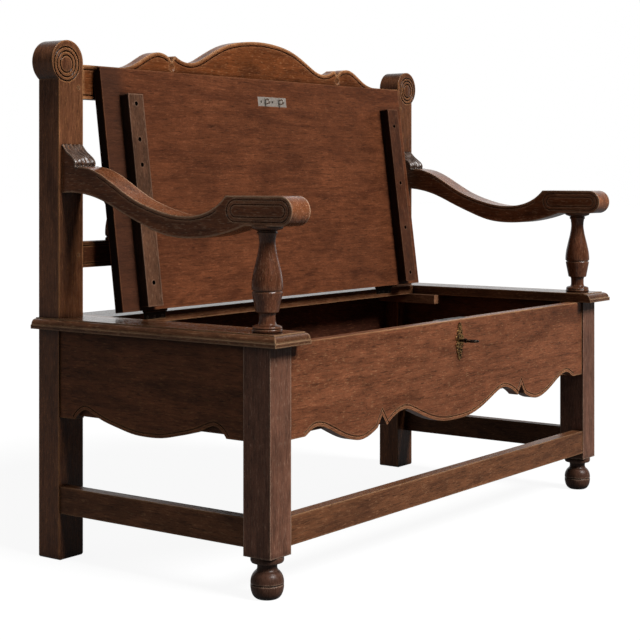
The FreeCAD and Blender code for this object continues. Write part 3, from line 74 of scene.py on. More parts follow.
def aged_oak(name, grain, dark, body, rubbed, gloss=0.36, shine=0.1, wear=1.0, rim=0.005,
             soft=0.0015, end_grain=0.4, side_shade=1.0, dust=None):
    """Oak, stained and waxed for many years, with its grain along one axis.

    Across the grain its figure is 38 mm wide and its pale ray flecks are 2.3. Its streaks are 3.4
    and its pores 1.9, coarser than real ones, so that they show. Wax lies on it in clouds 110 mm
    wide and a mottling of 17, and its surface is gritty at 1.1.

    The colours are of the dark figure, the body of the wood and the places rubbed bare. Gloss is
    its roughness and shine its specular level. Wear is how bare its edges are, rim how wide that
    is, and soft how round they are, in metres. End_grain is how bright its ends are left, and the
    side setting how bright the faces that look along X are left, a darkening that is painted shade.
    Dust is a colour, an axis, and where along that axis it starts and is thick.
    """
    material = bpy.data.materials.new(name)
    material.use_nodes = True
    tree = material.node_tree
    tree.nodes.clear()
    place = add(tree, "ShaderNodeTexCoord").outputs["Object"]

    # Each mark has a count across a metre, its share of that along the grain, detail and twist.
    marks = {}
    for mark, count, drawn_out, detail, twist in (
            ("figure", 26.0, 0.16, 3.0, 1.4), ("streak", 290.0, 0.06, 3.0, 0.0),
            ("pore", 520.0, 0.09, 1.0, 0.0), ("fleck", 430.0, 0.2, 1.0, 0.0),
            ("cloud", 9.0, 0.7, 3.0, 0.0), ("mottle", 60.0, 0.45, 2.0, 0.0),
            ("grit", 900.0, 0.8, 1.0, 0.0)):
        stretch = [drawn_out if axis == grain else 1.0 for axis in "XYZ"]
        run = add(tree, "ShaderNodeMapping", {"Vector": place, "Scale": stretch})
        marks[mark] = add(tree, "ShaderNodeTexNoise", {
            "Vector": run.outputs["Vector"], "Scale": count, "Detail": detail, "Roughness": 0.6,
            "Distortion": twist}).outputs["Fac"]

    # The figure and the flecks colour the wood, the other marks shade it, and pores are black.
    plain = add(tree, "ShaderNodeMapRange", {
        "Value": marks["figure"], "From Min": 0.3, "From Max": 0.56, "To Min": 0.3})
    tone = add(tree, "ShaderNodeMix", {
        "Factor": plain.outputs["Result"], "A": linear(dark), "B": linear(body)},
        data_type="RGBA").outputs["Result"]
    flecked = add(tree, "ShaderNodeMapRange", {
        "Value": marks["fleck"], "From Min": 0.58, "From Max": 0.74, "To Max": 0.3})
    tone = add(tree, "ShaderNodeMix", {
        "Factor": flecked.outputs["Result"], "A": tone, "B": linear(rubbed)},
        data_type="RGBA").outputs["Result"]
    for mark, low, high, dimmest, brightest in (
            ("grit", 0.35, 0.65, 0.74, 1.26), ("streak", 0.3, 0.7, 0.8, 1.2),
            ("mottle", 0.3, 0.7, 0.84, 1.16), ("cloud", 0.3, 0.7, 0.84, 1.16)):
        strength = add(tree, "ShaderNodeMapRange", {
            "Value": marks[mark], "From Min": low, "From Max": high,
            "To Min": dimmest, "To Max": brightest}).outputs["Result"]
        tone = add(tree, "ShaderNodeVectorMath", {0: tone, "Scale": strength},
                   operation="SCALE").outputs["Vector"]
    pores = add(tree, "ShaderNodeMapRange", {
        "Value": marks["pore"], "From Min": 0.57, "From Max": 0.72,
        "To Max": 0.5}).outputs["Result"]
    tone = add(tree, "ShaderNodeMix", {"Factor": pores, "A": tone, "B": linear("#120905")},
               data_type="RGBA").outputs["Result"]
    if dust:
        colour, axis, start, thick = dust
        along = add(tree, "ShaderNodeSeparateXYZ", {0: place}).outputs[axis]
        dusty = add(tree, "ShaderNodeMapRange", {
            "Value": along, "From Min": start, "From Max": thick, "To Max": 0.6})
        tone = add(tree, "ShaderNodeMix", {
            "Factor": dusty.outputs["Result"], "A": tone, "B": linear(colour)},
            data_type="RGBA").outputs["Result"]

    # End grain drank more stain, and the faces that look along X are darkened as painted shade.
    facing = add(tree, "ShaderNodeTexCoord").outputs["Normal"]
    for axis, left in ((grain, end_grain), ("X", side_shade)):
        lean = add(tree, "ShaderNodeSeparateXYZ", {0: facing}).outputs[axis]
        lean = add(tree, "ShaderNodeMath", {0: lean}, operation="ABSOLUTE").outputs["Value"]
        strength = add(tree, "ShaderNodeMapRange", {
            "Value": lean, "From Min": 0.6, "From Max": 0.9, "To Min": 1.0,
            "To Max": left}).outputs["Result"]
        tone = add(tree, "ShaderNodeVectorMath", {0: tone, "Scale": strength},
                   operation="SCALE").outputs["Vector"]

    # Open edges are rubbed bare, more in some places than in others and less in corners, and
    # corners and hollows are darkened as painted shade.
    flat = add(tree, "ShaderNodeNewGeometry").outputs["Normal"]
    rounded = add(tree, "ShaderNodeBevel", {"Radius": rim}, samples=4).outputs["Normal"]
    turn = add(tree, "ShaderNodeVectorMath", {0: flat, 1: rounded},
               operation="DOT_PRODUCT").outputs["Value"]
    bare = add(tree, "ShaderNodeMapRange", {
        "Value": turn, "From Min": 0.995, "From Max": 0.84, "To Max": wear}).outputs["Result"]
    shelter = add(tree, "ShaderNodeAmbientOcclusion", {"Distance": 0.018}, samples=4).outputs["AO"]
    for reading, low, high, least in ((marks["cloud"], 0.36, 0.56, 0.5), (shelter, 0.45, 0.8, 0.0)):
        share = add(tree, "ShaderNodeMapRange", {
            "Value": reading, "From Min": low, "From Max": high, "To Min": least}).outputs["Result"]
        bare = add(tree, "ShaderNodeMath", {0: bare, 1: share},
                   operation="MULTIPLY").outputs["Value"]
    tone = add(tree, "ShaderNodeMix", {"Factor": bare, "A": tone, "B": linear(rubbed)},
               data_type="RGBA").outputs["Result"]
    # Corners and hollows are darkened here, as painted shade.
    painted_shade = add(tree, "ShaderNodeMapRange", {
        "Value": shelter, "From Min": 0.3, "From Max": 0.92, "To Min": 0.1}).outputs["Result"]
    tone = add(tree, "ShaderNodeVectorMath", {0: tone, "Scale": painted_shade},
               operation="SCALE").outputs["Vector"]

    # Streaks stand a little proud and take less polish, and pores are sunk.
    rough = add(tree, "ShaderNodeMapRange", {
        "Value": marks["streak"], "From Min": 0.3, "From Max": 0.7, "To Min": gloss - 0.06,
        "To Max": gloss + 0.1}).outputs["Result"]
    height = add(tree, "ShaderNodeMath", {0: marks["streak"], 1: pores},
                 operation="SUBTRACT").outputs["Value"]
    eased = add(tree, "ShaderNodeBevel", {"Radius": soft}, samples=4).outputs["Normal"]
    relief = add(tree, "ShaderNodeBump", {
        "Strength": 0.35, "Distance": 0.0007, "Height": height, "Normal": eased}).outputs["Normal"]
    shader = add(tree, "ShaderNodeBsdfPrincipled", {
        "Base Color": tone, "Roughness": rough, "IOR": 1.5, "Specular IOR Level": shine,
        "Normal": relief})
    add(tree, "ShaderNodeOutputMaterial", {"Surface": shader.outputs["BSDF"]})
    return material


def finish_in(material, *names):
    for name in names:
        nodes[name].data.materials.clear()
        nodes[name].data.materials.append(material)


finish_in(aged_oak("polished_oak_posts", "Z", "#48291a", "#6a422b", "#b07a4e",
                   gloss=0.24, shine=0.22, rim=0.006, soft=0.003),
          "rear_post_left", "rear_post_right")


# Crest rail and lower back rail. Sawn from inch boards and tenoned into the posts. The crest is
# arched between two lobes. A bead follows its top edge, and scratched lines run along both rails.
finish_in(aged_oak("polished_oak_crest", "X", "#3f2112", "#733f21", "#cf986a",
                   gloss=0.28, rim=0.012, soft=0.003), "crest_rail")
# The lower back rail's colours are darkened, as painted shadow of the open lid.
finish_in(aged_oak("polished_oak_back_rail", "X", "#2a160d", "#442516", "#8f623f"),
          "lower_back_rail")


# Splats. Five thin sawn boards, their two sides waved alike, let into the rails without glue.
# Their polish is duller than that of the rails.
finish_in(aged_oak("dull_oak_splats", "Z", "#442819", "#6b4029", "#987050", gloss=0.42),
          *["back_splat_%d" % number for number in range(1, 6)])


# Pegs. Split oak pins driven through the tenons of the back rails, dried a little proud, so that
# their end grain shows.
finish_in(aged_oak("oak_end_grain_pegs", "Y", "#3f2617", "#6a432b", "#9a7454", end_grain=0.8),
          "joint_pegs")


# Front legs. Square oak, turned at the bottom to a collar, a neck and a ball foot. Shoes and
# brooms have knocked them pale and grey, and the feet are dark with floor dirt.
# The faces of the legs that look along X are a little darker, as painted shade.
finish_in(aged_oak("scuffed_oak_legs", "Z", "#452c20", "#734d3c", "#b0907a",
                   gloss=0.28, shine=0.16, soft=0.0025, end_grain=0.8, side_shade=0.9,
                   dust=("#2a1d17", "Z", 0.088, 0.07)),
          "front_leg_left", "front_leg_right")


# Side rails and front stretcher. Plain oak bars tenoned between the legs, near the floor, and
# scuffed by heels.
finish_in(aged_oak("scuffed_oak_side_rails", "Y", "#43281a", "#66412b", "#9a7454", gloss=0.38),
          "side_rail_left", "side_rail_right")
finish_in(aged_oak("scuffed_oak_stretcher", "X", "#45291b", "#6d452d", "#a17a59"),
          "front_stretcher")


# Chest panels. Solid boards tongued into the legs and posts. The front one has a sawn apron edge
# with a scratched bead inside it, the ends have a shallower one, and the rear is left rough.
finish_in(aged_oak("polished_oak_front_panel", "X", "#4c2817", "#7c4a31", "#bb9068",
                   gloss=0.32, soft=0.0025), "front_panel")
finish_in(aged_oak("polished_oak_end_panels", "Y", "#43271a", "#6b4029", "#9c7048"),
          "end_panel_left", "end_panel_right")
# The rear panel's colours are darker than the end panels', partly for its rough wood and partly as
# painted shade inside the chest.
finish_in(aged_oak("raw_oak_rear_panel", "X", "#2f1810", "#4a281b", "#8f6143",
                   gloss=0.55, wear=0.3), "rear_panel")


# Chest floor. Thin boards laid from front to back on two nailed bearers, dusty and unpolished.
# No hand or shoe reaches them, so their edges are hardly worn.
finish_in(aged_oak("raw_oak_floor_boards", "Y", "#3f2a1e", "#5e412f", "#84654c",
                   gloss=0.6, wear=0.3), "floor_boards")
finish_in(aged_oak("raw_oak_bearers", "X", "#3f2a1e", "#5e412f", "#84654c",
                   gloss=0.6, wear=0.3), "floor_bearer_front", "floor_bearer_rear")


# Seat boards. A moulded board over each end of the chest, a plain one along the back that the lid
# hangs from, and two cleats underneath. The tops are waxed and rubbed to a shine by use.
finish_in(aged_oak("waxed_oak_end_boards", "Y", "#382015", "#5e3b26", "#b58e6a",
                   gloss=0.2, shine=0.2, soft=0.0025, end_grain=0.9),
          "seat_end_board_left", "seat_end_board_right")
finish_in(aged_oak("waxed_oak_rear_board", "X", "#402719", "#6b442d", "#a07a58",
                   gloss=0.24, shine=0.22), "rear_seat_board")
finish_in(aged_oak("raw_oak_cleats", "Y", "#5a3a28", "#80583e", "#a5806a",
                   gloss=0.6, wear=0.4, end_grain=1.5), "seat_cleat_left", "seat_cleat_right")


# Arms. Sawn from thick oak to a deep dip, round at the front where hands have worn them pale,
# with scratched lines along the sides.
# The faces of the arms that look along X are a little darker, as painted shade.
finish_in(aged_oak("handworn_oak_arms", "Y", "#452717", "#77462b", "#d2aa88",
                   gloss=0.2, shine=0.2, rim=0.007, soft=0.003, end_grain=1.3, side_shade=0.86),
          "arm_left", "arm_right")


# Carved leaves. Where each arm meets its post the wood stands up in a small ogee block, cut with
# a gouge into wavy hollows between rounded ribs, and glossy and grey-brown with old wax. The
# profile gives the front of the block as pairs of y and z, from its top down.
leaf_half_width = 0.0276
leaf_middle_x = 0.591
leaf_ribs = 5
leaf_rib_height = 0.0023
leaf_hollow_depth = 0.0004
leaf_vein_height = 0.0004
leaf_tip_length = 0.004
leaf_tip_start = 0.86
leaf_sink = 0.003
leaf_sway = 0.35
leaf_columns = 75
leaf_rows_per_span = 9
leaf_profile = [(0.2500, 0.8024), (0.2450, 0.7971), (0.2378, 0.7896), (0.2271, 0.7819),
                (0.2188, 0.7751), (0.2145, 0.7674), (0.2151, 0.7602), (0.2085, 0.7592)]
leaf_oak = aged_oak("gouged_oak_leaves", "Z", "#2a1c15", "#4b362b", "#9b8474",
                    gloss=0.26, shine=0.35)


def smooth_run(points, steps):
    """Points along the Catmull-Rom curve through the given pairs."""
    run = []
    last = len(points) - 1
    for piece in range(last):
        p0, p1, p2, p3 = [Vector(points[min(max(piece + step, 0), last)]) for step in (-1, 0, 1, 2)]
        for step in range(steps):
            t = step / steps
            run.append(0.5 * (2 * p1 + (p2 - p0) * t + (2 * p0 - 5 * p1 + 4 * p2 - p3) * t * t
                              + (3 * p1 - p0 - 3 * p2 + p3) * t * t * t))
    run.append(Vector(points[last]))
    return run


def carved_leaf(name, side):
    """A carved face over the block's own front, and a plain one sunk in the wood behind it. The
    ribs sway as they come down, fade at both sides and end in points at the bottom."""
    down = smooth_run(leaf_profile, leaf_rows_per_span)
    mesh = bmesh.new()
    face, sunk = [], []
    for row, point in enumerate(down):
        before, after = down[max(row - 1, 0)], down[min(row + 1, len(down) - 1)]
        slope = (after - before).normalized()
        outward = Vector((slope.y, -slope.x))
        fall = row / (len(down) - 1)
        sway = leaf_sway * math.sin(2.2 * math.pi * fall)
        face_row, sunk_row = [], []
        for column in range(leaf_columns + 1):
            across = column / leaf_columns
            crown = 0.5 + 0.5 * math.cos((across * leaf_ribs + sway) * 2 * math.pi)
            vein = leaf_vein_height * math.sin(6 * math.pi * fall + 9 * across)
            fade = math.sin(math.pi / 2 * min(1.0, 8 * min(across, 1 - across)))
            rise = (leaf_rib_height * crown ** 0.7 - leaf_hollow_depth + vein) * fade
            tip = leaf_tip_length * crown * max(0.0, fall - leaf_tip_start) / (1 - leaf_tip_start)
            cut = point + outward * rise + slope * tip
            deep = point - outward * leaf_sink
            x = side * leaf_middle_x + leaf_half_width * (2 * across - 1)
            face_row.append(mesh.verts.new((x, cut.x, cut.y)))
            sunk_row.append(mesh.verts.new((x, deep.x, deep.y)))
        face.append(face_row)
        sunk.append(sunk_row)
    for row in range(len(face) - 1):
        for column in range(leaf_columns):
            mesh.faces.new((face[row][column], face[row][column + 1], face[row + 1][column + 1],
                            face[row + 1][column]))
            mesh.faces.new((sunk[row][column], sunk[row + 1][column], sunk[row + 1][column + 1],
                            sunk[row][column + 1]))
        mesh.faces.new((face[row][0], face[row + 1][0], sunk[row + 1][0], sunk[row][0]))
        mesh.faces.new((face[row][-1], sunk[row][-1], sunk[row + 1][-1], face[row + 1][-1]))
    for column in range(leaf_columns):
        mesh.faces.new((face[0][column], sunk[0][column], sunk[0][column + 1],
                        face[0][column + 1]))
        mesh.faces.new((face[-1][column], face[-1][column + 1], sunk[-1][column + 1],
                        sunk[-1][column]))
    bmesh.ops.recalc_face_normals(mesh, faces=mesh.faces)
    data = bpy.data.meshes.new(name)
    mesh.to_mesh(data)
    mesh.free()
    data.shade_smooth()
    data.materials.append(leaf_oak)
    piece = bpy.data.objects.new(name, data)
    bpy.context.scene.collection.objects.link(piece)
    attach(piece, "frame")


carved_leaf("carved_leaf_left", -1)
carved_leaf("carved_leaf_right", 1)


# Arm supports. Oak balusters turned on a lathe between the seat and the arm, with a pin at each
# end, and glossy with old wax. Their turning, and the step down to each pin, are in shares of the
# widest radius and of the height.
support_radius = 0.0288
support_facets = 56
support_foot, support_head = 0.467, 0.654
support_pin_radius = 0.01
support_pin_lengths = (0.038, 0.023)
support_pin_step = 0.001
support_rows_per_span = 6
support_weld = 0.00001
support_x, support_y = 0.595, -0.2355
support_turning = [
    [(0.9, 0.0), (0.945, 0.012), (0.93, 0.03)],
    [(0.875, 0.034), (0.92, 0.042), (0.9, 0.054), (0.82, 0.065)],
    [(0.57, 0.074), (0.525, 0.1), (0.52, 0.155), (0.56, 0.185)],
    [(0.72, 0.192), (0.795, 0.25), (0.885, 0.32), (0.955, 0.378)],
    [(0.89, 0.385), (0.89, 0.394)],
    [(0.965, 0.401), (0.972, 0.44), (0.92, 0.52), (0.77, 0.625), (0.61, 0.725), (0.52, 0.81),
     (0.505, 0.86), (0.54, 0.905), (0.56, 0.922)],
    [(0.625, 0.928), (0.63, 0.942), (0.57, 0.95)],
    [(0.68, 0.958), (0.85, 0.968), (0.93, 0.972), (0.985, 0.984), (1.0, 1.0)],
]
support_oak = aged_oak("turned_oak_supports", "Z", "#3f2316", "#633a26", "#a98060",
                       gloss=0.18, shine=0.32, wear=0.9)


def new_tree(name, sizes):
    """A node tree with a mesh input, named sizes and a mesh output."""
    tree = bpy.data.node_groups.new(name, "GeometryNodeTree")
    tree.interface.new_socket("Geometry", in_out="INPUT", socket_type="NodeSocketGeometry")
    for label, kind in sizes:
        tree.interface.new_socket(label, in_out="INPUT", socket_type="NodeSocket" + kind)
    tree.interface.new_socket("Geometry", in_out="OUTPUT", socket_type="NodeSocketGeometry")
    return tree, add(tree, "NodeGroupInput").outputs


def grown_from(points, edges, tree, name, settings):
    """Gives a mesh of points and edges the tree as a modifier with its named inputs set."""
    start = bpy.data.meshes.new(name)
    start.from_pydata(points, edges, [])
    piece = bpy.data.objects.new(name, start)
    bpy.context.scene.collection.objects.link(piece)
    modifier = piece.modifiers.new("shape", "NODES")
    modifier.node_group = tree
    for item in tree.interface.items_tree:
        if item.in_out == "INPUT" and item.name in settings:
            modifier[item.identifier] = settings[item.name]
    return piece


def as_plain_mesh(piece, name):
    """Turns a piece that a node tree makes into a plain mesh object without modifiers."""
    grown = piece.evaluated_get(bpy.context.evaluated_depsgraph_get())
    data = bpy.data.meshes.new_from_object(grown)
    bpy.data.objects.remove(piece)
    data.name = name
    plain = bpy.data.objects.new(name, data)
    bpy.context.scene.collection.objects.link(plain)
    return plain


lathe, lathe_in = new_tree("turned_on_a_lathe", [
    ("Widest radius", "Float"), ("Facets", "Int"), ("Material", "Material")])
axis = add(lathe, "GeometryNodeMeshToCurve", {"Mesh": lathe_in["Geometry"]}).outputs["Curve"]
share = add(lathe, "GeometryNodeInputNamedAttribute", {"Name": "radius_share"},
            data_type="FLOAT").outputs["Attribute"]
reach = add(lathe, "ShaderNodeMath", {0: share, 1: lathe_in["Widest radius"]},
            operation="MULTIPLY").outputs["Value"]
ring = add(lathe, "GeometryNodeCurvePrimitiveCircle", {
    "Resolution": lathe_in["Facets"], "Radius": 1.0}).outputs["Curve"]
body = add(lathe, "GeometryNodeCurveToMesh", {
    "Curve": axis, "Profile Curve": ring, "Scale": reach, "Fill Caps": True}).outputs["Mesh"]
body = add(lathe, "GeometryNodeSetShadeSmooth", {"Geometry": body}).outputs["Geometry"]
body = add(lathe, "GeometryNodeRealizeInstances", {"Geometry": body}).outputs["Geometry"]
body = add(lathe, "GeometryNodeSetMaterial", {
    "Geometry": body, "Material": lathe_in["Material"]}).outputs["Geometry"]
add(lathe, "NodeGroupOutput", {"Geometry": body})

support_height = support_head - support_foot
pin_share = support_pin_radius / support_radius
turning = [(pin_share, -support_pin_lengths[0] / support_height), (pin_share, -support_pin_step)]
for run in support_turning:
    turned_run = smooth_run(run, support_rows_per_span) if len(run) > 2 else run
    turning += [tuple(point) for point in turned_run]
turning += [(pin_share, 1 + support_pin_step),
            (pin_share, 1 + support_pin_lengths[1] / support_height)]

for name, side in (("arm_support_left", -1), ("arm_support_right", 1)):
    centres = [(side * support_x, support_y, support_foot + up * support_height)
               for across, up in turning]
    piece = grown_from(centres, [(step, step + 1) for step in range(len(centres) - 1)], lathe,
                       "turned_" + name, {"Widest radius": support_radius,
                                          "Facets": support_facets, "Material": support_oak})
    shares = piece.data.attributes.new("radius_share", "FLOAT", "POINT")
    shares.data.foreach_set("value", [across for across, up in turning])
    piece = as_plain_mesh(piece, "turned_" + name)
    turned = bmesh.new()
    turned.from_mesh(piece.data)
    bmesh.ops.remove_doubles(turned, verts=turned.verts, dist=support_weld)
    bmesh.ops.recalc_face_normals(turned, faces=turned.faces)
    turned.to_mesh(piece.data)
    turned.free()
    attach(piece, "frame")
    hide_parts(name)


# Lid. One wide oak panel, shown from its unpolished red-brown underside, its front edge moulded
# like the end boards. Two battens keep it flat, the left one grey with dust and the right one
# redder, and the sides of both are darkened to near black as painted shade. The lid's ends are
# darkened far past their stain, also as painted shade, and its left end turns darker and greyer.
finish_in(aged_oak("oiled_oak_lid", "X", "#462415", "#643822", "#8d5c3f",
                   gloss=0.42, wear=0.7, end_grain=0.16, dust=("#33231c", "X", -0.46, -0.49)),
          "lid_panel")
finish_in(aged_oak("dusty_oak_left_batten", "Z", "#3a261a", "#5a3c2b", "#957560",
                   gloss=0.5, wear=0.7, side_shade=0.25), "lid_batten_left")
finish_in(aged_oak("reddish_oak_right_batten", "Z", "#331b10", "#4c2b1b", "#8a644c",
                   gloss=0.5, wear=0.7, side_shade=0.25), "lid_batten_right")


# Hinges, lock, strike plate and key. Forged and filed iron, dark with old oil and a little brown
# rust, brighter where pieces rub.

def old_iron(name, dark, bright, rough):
    """Wrought iron, filed flat and left bare. It has rust freckles 4 mm across and bright rubbed
    edges 1 mm wide, and its corners are darkened as painted shade."""
    material = bpy.data.materials.new(name)
    material.use_nodes = True
    tree = material.node_tree
    tree.nodes.clear()
    place = add(tree, "ShaderNodeTexCoord").outputs["Object"]
    freckle = add(tree, "ShaderNodeTexNoise", {
        "Vector": place, "Scale": 260.0, "Detail": 3.0}).outputs["Fac"]
    rust = add(tree, "ShaderNodeMapRange", {
        "Value": freckle, "From Min": 0.5, "From Max": 0.7, "To Max": 0.5}).outputs["Result"]
    tone = add(tree, "ShaderNodeMix", {"Factor": rust, "A": linear(dark), "B": linear("#4a2f20")},
               data_type="RGBA").outputs["Result"]
    flat = add(tree, "ShaderNodeNewGeometry").outputs["Normal"]
    rounded = add(tree, "ShaderNodeBevel", {"Radius": 0.001}, samples=4).outputs["Normal"]
    turn = add(tree, "ShaderNodeVectorMath", {0: flat, 1: rounded},
               operation="DOT_PRODUCT").outputs["Value"]
    edge = add(tree, "ShaderNodeMapRange", {
        "Value": turn, "From Min": 0.99, "From Max": 0.8}).outputs["Result"]
    tone = add(tree, "ShaderNodeMix", {"Factor": edge, "A": tone, "B": linear(bright)},
               data_type="RGBA").outputs["Result"]
    shelter = add(tree, "ShaderNodeAmbientOcclusion", {"Distance": 0.006}, samples=4).outputs["AO"]
    # Corners and hollows are darkened, as painted shade.
    painted_shade = add(tree, "ShaderNodeMapRange", {
        "Value": shelter, "From Min": 0.45, "From Max": 0.95, "To Min": 0.05}).outputs["Result"]
    tone = add(tree, "ShaderNodeVectorMath", {0: tone, "Scale": painted_shade},
               operation="SCALE").outputs["Vector"]
    haze = add(tree, "ShaderNodeMapRange", {
        "Value": freckle, "To Min": rough - 0.12, "To Max": rough + 0.2}).outputs["Result"]
    relief = add(tree, "ShaderNodeBump", {
        "Strength": 0.4, "Distance": 0.0003, "Height": freckle,
        "Normal": rounded}).outputs["Normal"]
    shader = add(tree, "ShaderNodeBsdfPrincipled", {
        "Base Color": tone, "Metallic": 1.0, "Roughness": haze, "Normal": relief})
    add(tree, "ShaderNodeOutputMaterial", {"Surface": shader.outputs["BSDF"]})
    return material


finish_in(old_iron("wrought_iron_hinges", "#3a332d", "#7d7468", 0.42),
          "hinge_leaf_frame_left", "hinge_leaf_frame_right", "hinge_leaf_lid_left",
          "hinge_leaf_lid_right", "hinge_pin_left", "hinge_pin_right")
finish_in(old_iron("wrought_iron_lock", "#3c3630", "#857b6f", 0.45),
          "lock_case", "lock_cap", "lock_spring", "lock_bolt")
finish_in(old_iron("rubbed_iron_strike", "#c4bab0", "#e0d8ce", 0.5), "strike_plate")
finish_in(old_iron("black_iron_key", "#2b2622", "#6d6358", 0.38), "key")


# Screws. Slotted iron wood screws: cheese heads sunk in the battens, and countersunk heads, filed
# flush, in the hinges, the lock and its strike plate. Their slots were left at any angle.
slot_depth = 0.0009
slot_share = 0.3
slot_cutter_length = 0.02
cheese_head = {"Head radius": 0.0043, "Neck radius": 0.0043, "Head height": 0.0025,
               "Shank radius": 0.0024, "Shank length": 0.028}
hinge_head = {"Head radius": 0.0032, "Neck radius": 0.0016, "Head height": 0.0016,
              "Shank radius": 0.0016, "Shank length": 0.0144}
plate_head = {"Head radius": 0.003, "Neck radius": 0.0015, "Head height": 0.0015,
              "Shank radius": 0.0015, "Shank length": 0.0105}
screw_iron = old_iron("turned_iron_screws", "#453d36", "#a2988c", 0.4)

screw_tree, screw_in = new_tree("slotted_screws", [
    ("Head radius", "Float"), ("Neck radius", "Float"), ("Head height", "Float"),
    ("Shank radius", "Float"), ("Shank length", "Float"), ("Slot width", "Float"),
    ("Slot depth", "Float"), ("Seed", "Int"), ("Material", "Material")])
head = add(screw_tree, "GeometryNodeMeshCone", {
    "Vertices": 28, "Radius Top": screw_in["Neck radius"], "Radius Bottom": screw_in["Head radius"],
    "Depth": screw_in["Head height"]}).outputs["Mesh"]
cut_depth = add(screw_tree, "ShaderNodeMath", {0: screw_in["Slot depth"], 1: 2.0},
                operation="MULTIPLY").outputs["Value"]
cut_size = add(screw_tree, "ShaderNodeCombineXYZ", {
    "X": slot_cutter_length, "Y": screw_in["Slot width"], "Z": cut_depth}).outputs["Vector"]
cut = add(screw_tree, "GeometryNodeMeshCube", {"Size": cut_size}).outputs["Mesh"]
slotted = add(screw_tree, "GeometryNodeMeshBoolean", {"Mesh 1": head, "Mesh 2": cut},
              operation="DIFFERENCE").outputs["Mesh"]
half_shank = add(screw_tree, "ShaderNodeMath", {0: screw_in["Shank length"], 1: 0.5},
                 operation="MULTIPLY").outputs["Value"]
shank_middle = add(screw_tree, "ShaderNodeMath", {0: half_shank, 1: screw_in["Head height"]},
                   operation="ADD").outputs["Value"]
shank_place = add(screw_tree, "ShaderNodeCombineXYZ", {"Z": shank_middle}).outputs["Vector"]
shank = add(screw_tree, "GeometryNodeMeshCylinder", {
    "Vertices": 16, "Radius": screw_in["Shank radius"],
    "Depth": screw_in["Shank length"]}).outputs["Mesh"]
shank = add(screw_tree, "GeometryNodeTransform", {
    "Geometry": shank, "Translation": shank_place}).outputs["Geometry"]
screw = add(screw_tree, "GeometryNodeJoinGeometry", {"Geometry": shank})
screw_tree.links.new(slotted, screw.inputs["Geometry"])
spots = add(screw_tree, "GeometryNodeMeshToPoints", {
    "Mesh": screw_in["Geometry"]}).outputs["Points"]
inward = add(screw_tree, "GeometryNodeInputNamedAttribute", {"Name": "inward"},
             data_type="FLOAT_VECTOR").outputs["Attribute"]
slot_angle = add(screw_tree, "FunctionNodeRandomValue", {
    "Min": 0.0, "Max": math.pi, "Seed": screw_in["Seed"]}, data_type="FLOAT").outputs["Value"]
driven = add(screw_tree, "FunctionNodeAlignRotationToVector", {"Vector": inward},
             axis="Z").outputs["Rotation"]
own_turn = add(screw_tree, "FunctionNodeAxisAngleToRotation", {
    "Angle": slot_angle}).outputs["Rotation"]
driven = add(screw_tree, "FunctionNodeRotateRotation", {
    "Rotation": driven, "Rotate By": own_turn}, rotation_space="LOCAL").outputs["Rotation"]
placed = add(screw_tree, "GeometryNodeInstanceOnPoints", {
    "Points": spots, "Instance": screw.outputs["Geometry"],
    "Rotation": driven}).outputs["Instances"]
placed = add(screw_tree, "GeometryNodeRealizeInstances", {"Geometry": placed}).outputs["Geometry"]
placed = add(screw_tree, "GeometryNodeSetMaterial", {
    "Geometry": placed, "Material": screw_in["Material"]}).outputs["Geometry"]
add(screw_tree, "NodeGroupOutput", {"Geometry": placed})

lid_swing = Matrix.Rotation(math.radians(-97.5349), 3, "X")
hinge_line = Vector((0, 0.196, 0.4718))


def screws(name, body, places, sizes, seed):
    """Drives a screw at each place, given as a spot and an inward direction with the lid shut.
    The lid stands open at rest, so its screws are swung up with it."""
    if body == "lid":
        places = [(hinge_line + lid_swing @ (Vector(spot) - hinge_line), lid_swing @ Vector(way))
                  for spot, way in places]
    piece = grown_from([spot for spot, way in places], [], screw_tree, "slotted_" + name,
                       {**sizes, "Slot width": slot_share * sizes["Head radius"],
                        "Slot depth": slot_depth, "Seed": seed, "Material": screw_iron})
    ways = piece.data.attributes.new("inward", "FLOAT_VECTOR", "POINT")
    ways.data.foreach_set("vector", [part for spot, way in places for part in way])
    piece = as_plain_mesh(piece, "slotted_" + name)
    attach(piece, body)
    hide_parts(name)


lid_rear_y, rear_board_y = 0.1955, 0.1965
batten_x, batten_hole_z = 0.4625, 0.4289
left_batten_reaches = (0.053, 0.170, 0.288, 0.339, 0.411)
right_batten_reaches = (0.027, 0.138, 0.248, 0.389)
hinge_xs = [side * 0.413 + step for side in (-1, 1) for step in (-0.022, 0, 0.022)]
hinge_screw_z = 0.4585
strike_xs = (-0.028, 0.011, 0.050)
up, down, forward, back = (0, 0, 1), (0, 0, -1), (0, -1, 0), (0, 1, 0)
screws("batten_screws", "lid",
       [((-batten_x, lid_rear_y - reach, batten_hole_z), up) for reach in left_batten_reaches]
       + [((batten_x, lid_rear_y - reach, batten_hole_z), up) for reach in right_batten_reaches],
       cheese_head, 3)
screws("hinge_screws_lid", "lid", [((x, lid_rear_y, hinge_screw_z), forward) for x in hinge_xs],
       hinge_head, 5)
screws("hinge_screws_frame", "frame", [((x, rear_board_y, hinge_screw_z), back) for x in hinge_xs],
       hinge_head, 8)
screws("strike_screws", "lid", [((x, -0.2405, 0.4464), up) for x in strike_xs], plate_head, 11)
screws("lock_screws", "frame",
       [((-0.0375, -0.24575, 0.446), down), ((0.0595, -0.24575, 0.446), down),
        ((-0.0275, -0.230, 0.3895), forward), ((0.0495, -0.230, 0.3895), forward),
        ((0.0495, -0.230, 0.4308), forward)], plate_head, 14)


# Escutcheon. A cast brass plate, pierced and scalloped, pinned round the keyhole, brown with
# tarnish in its hollows and yellow where it is rubbed.

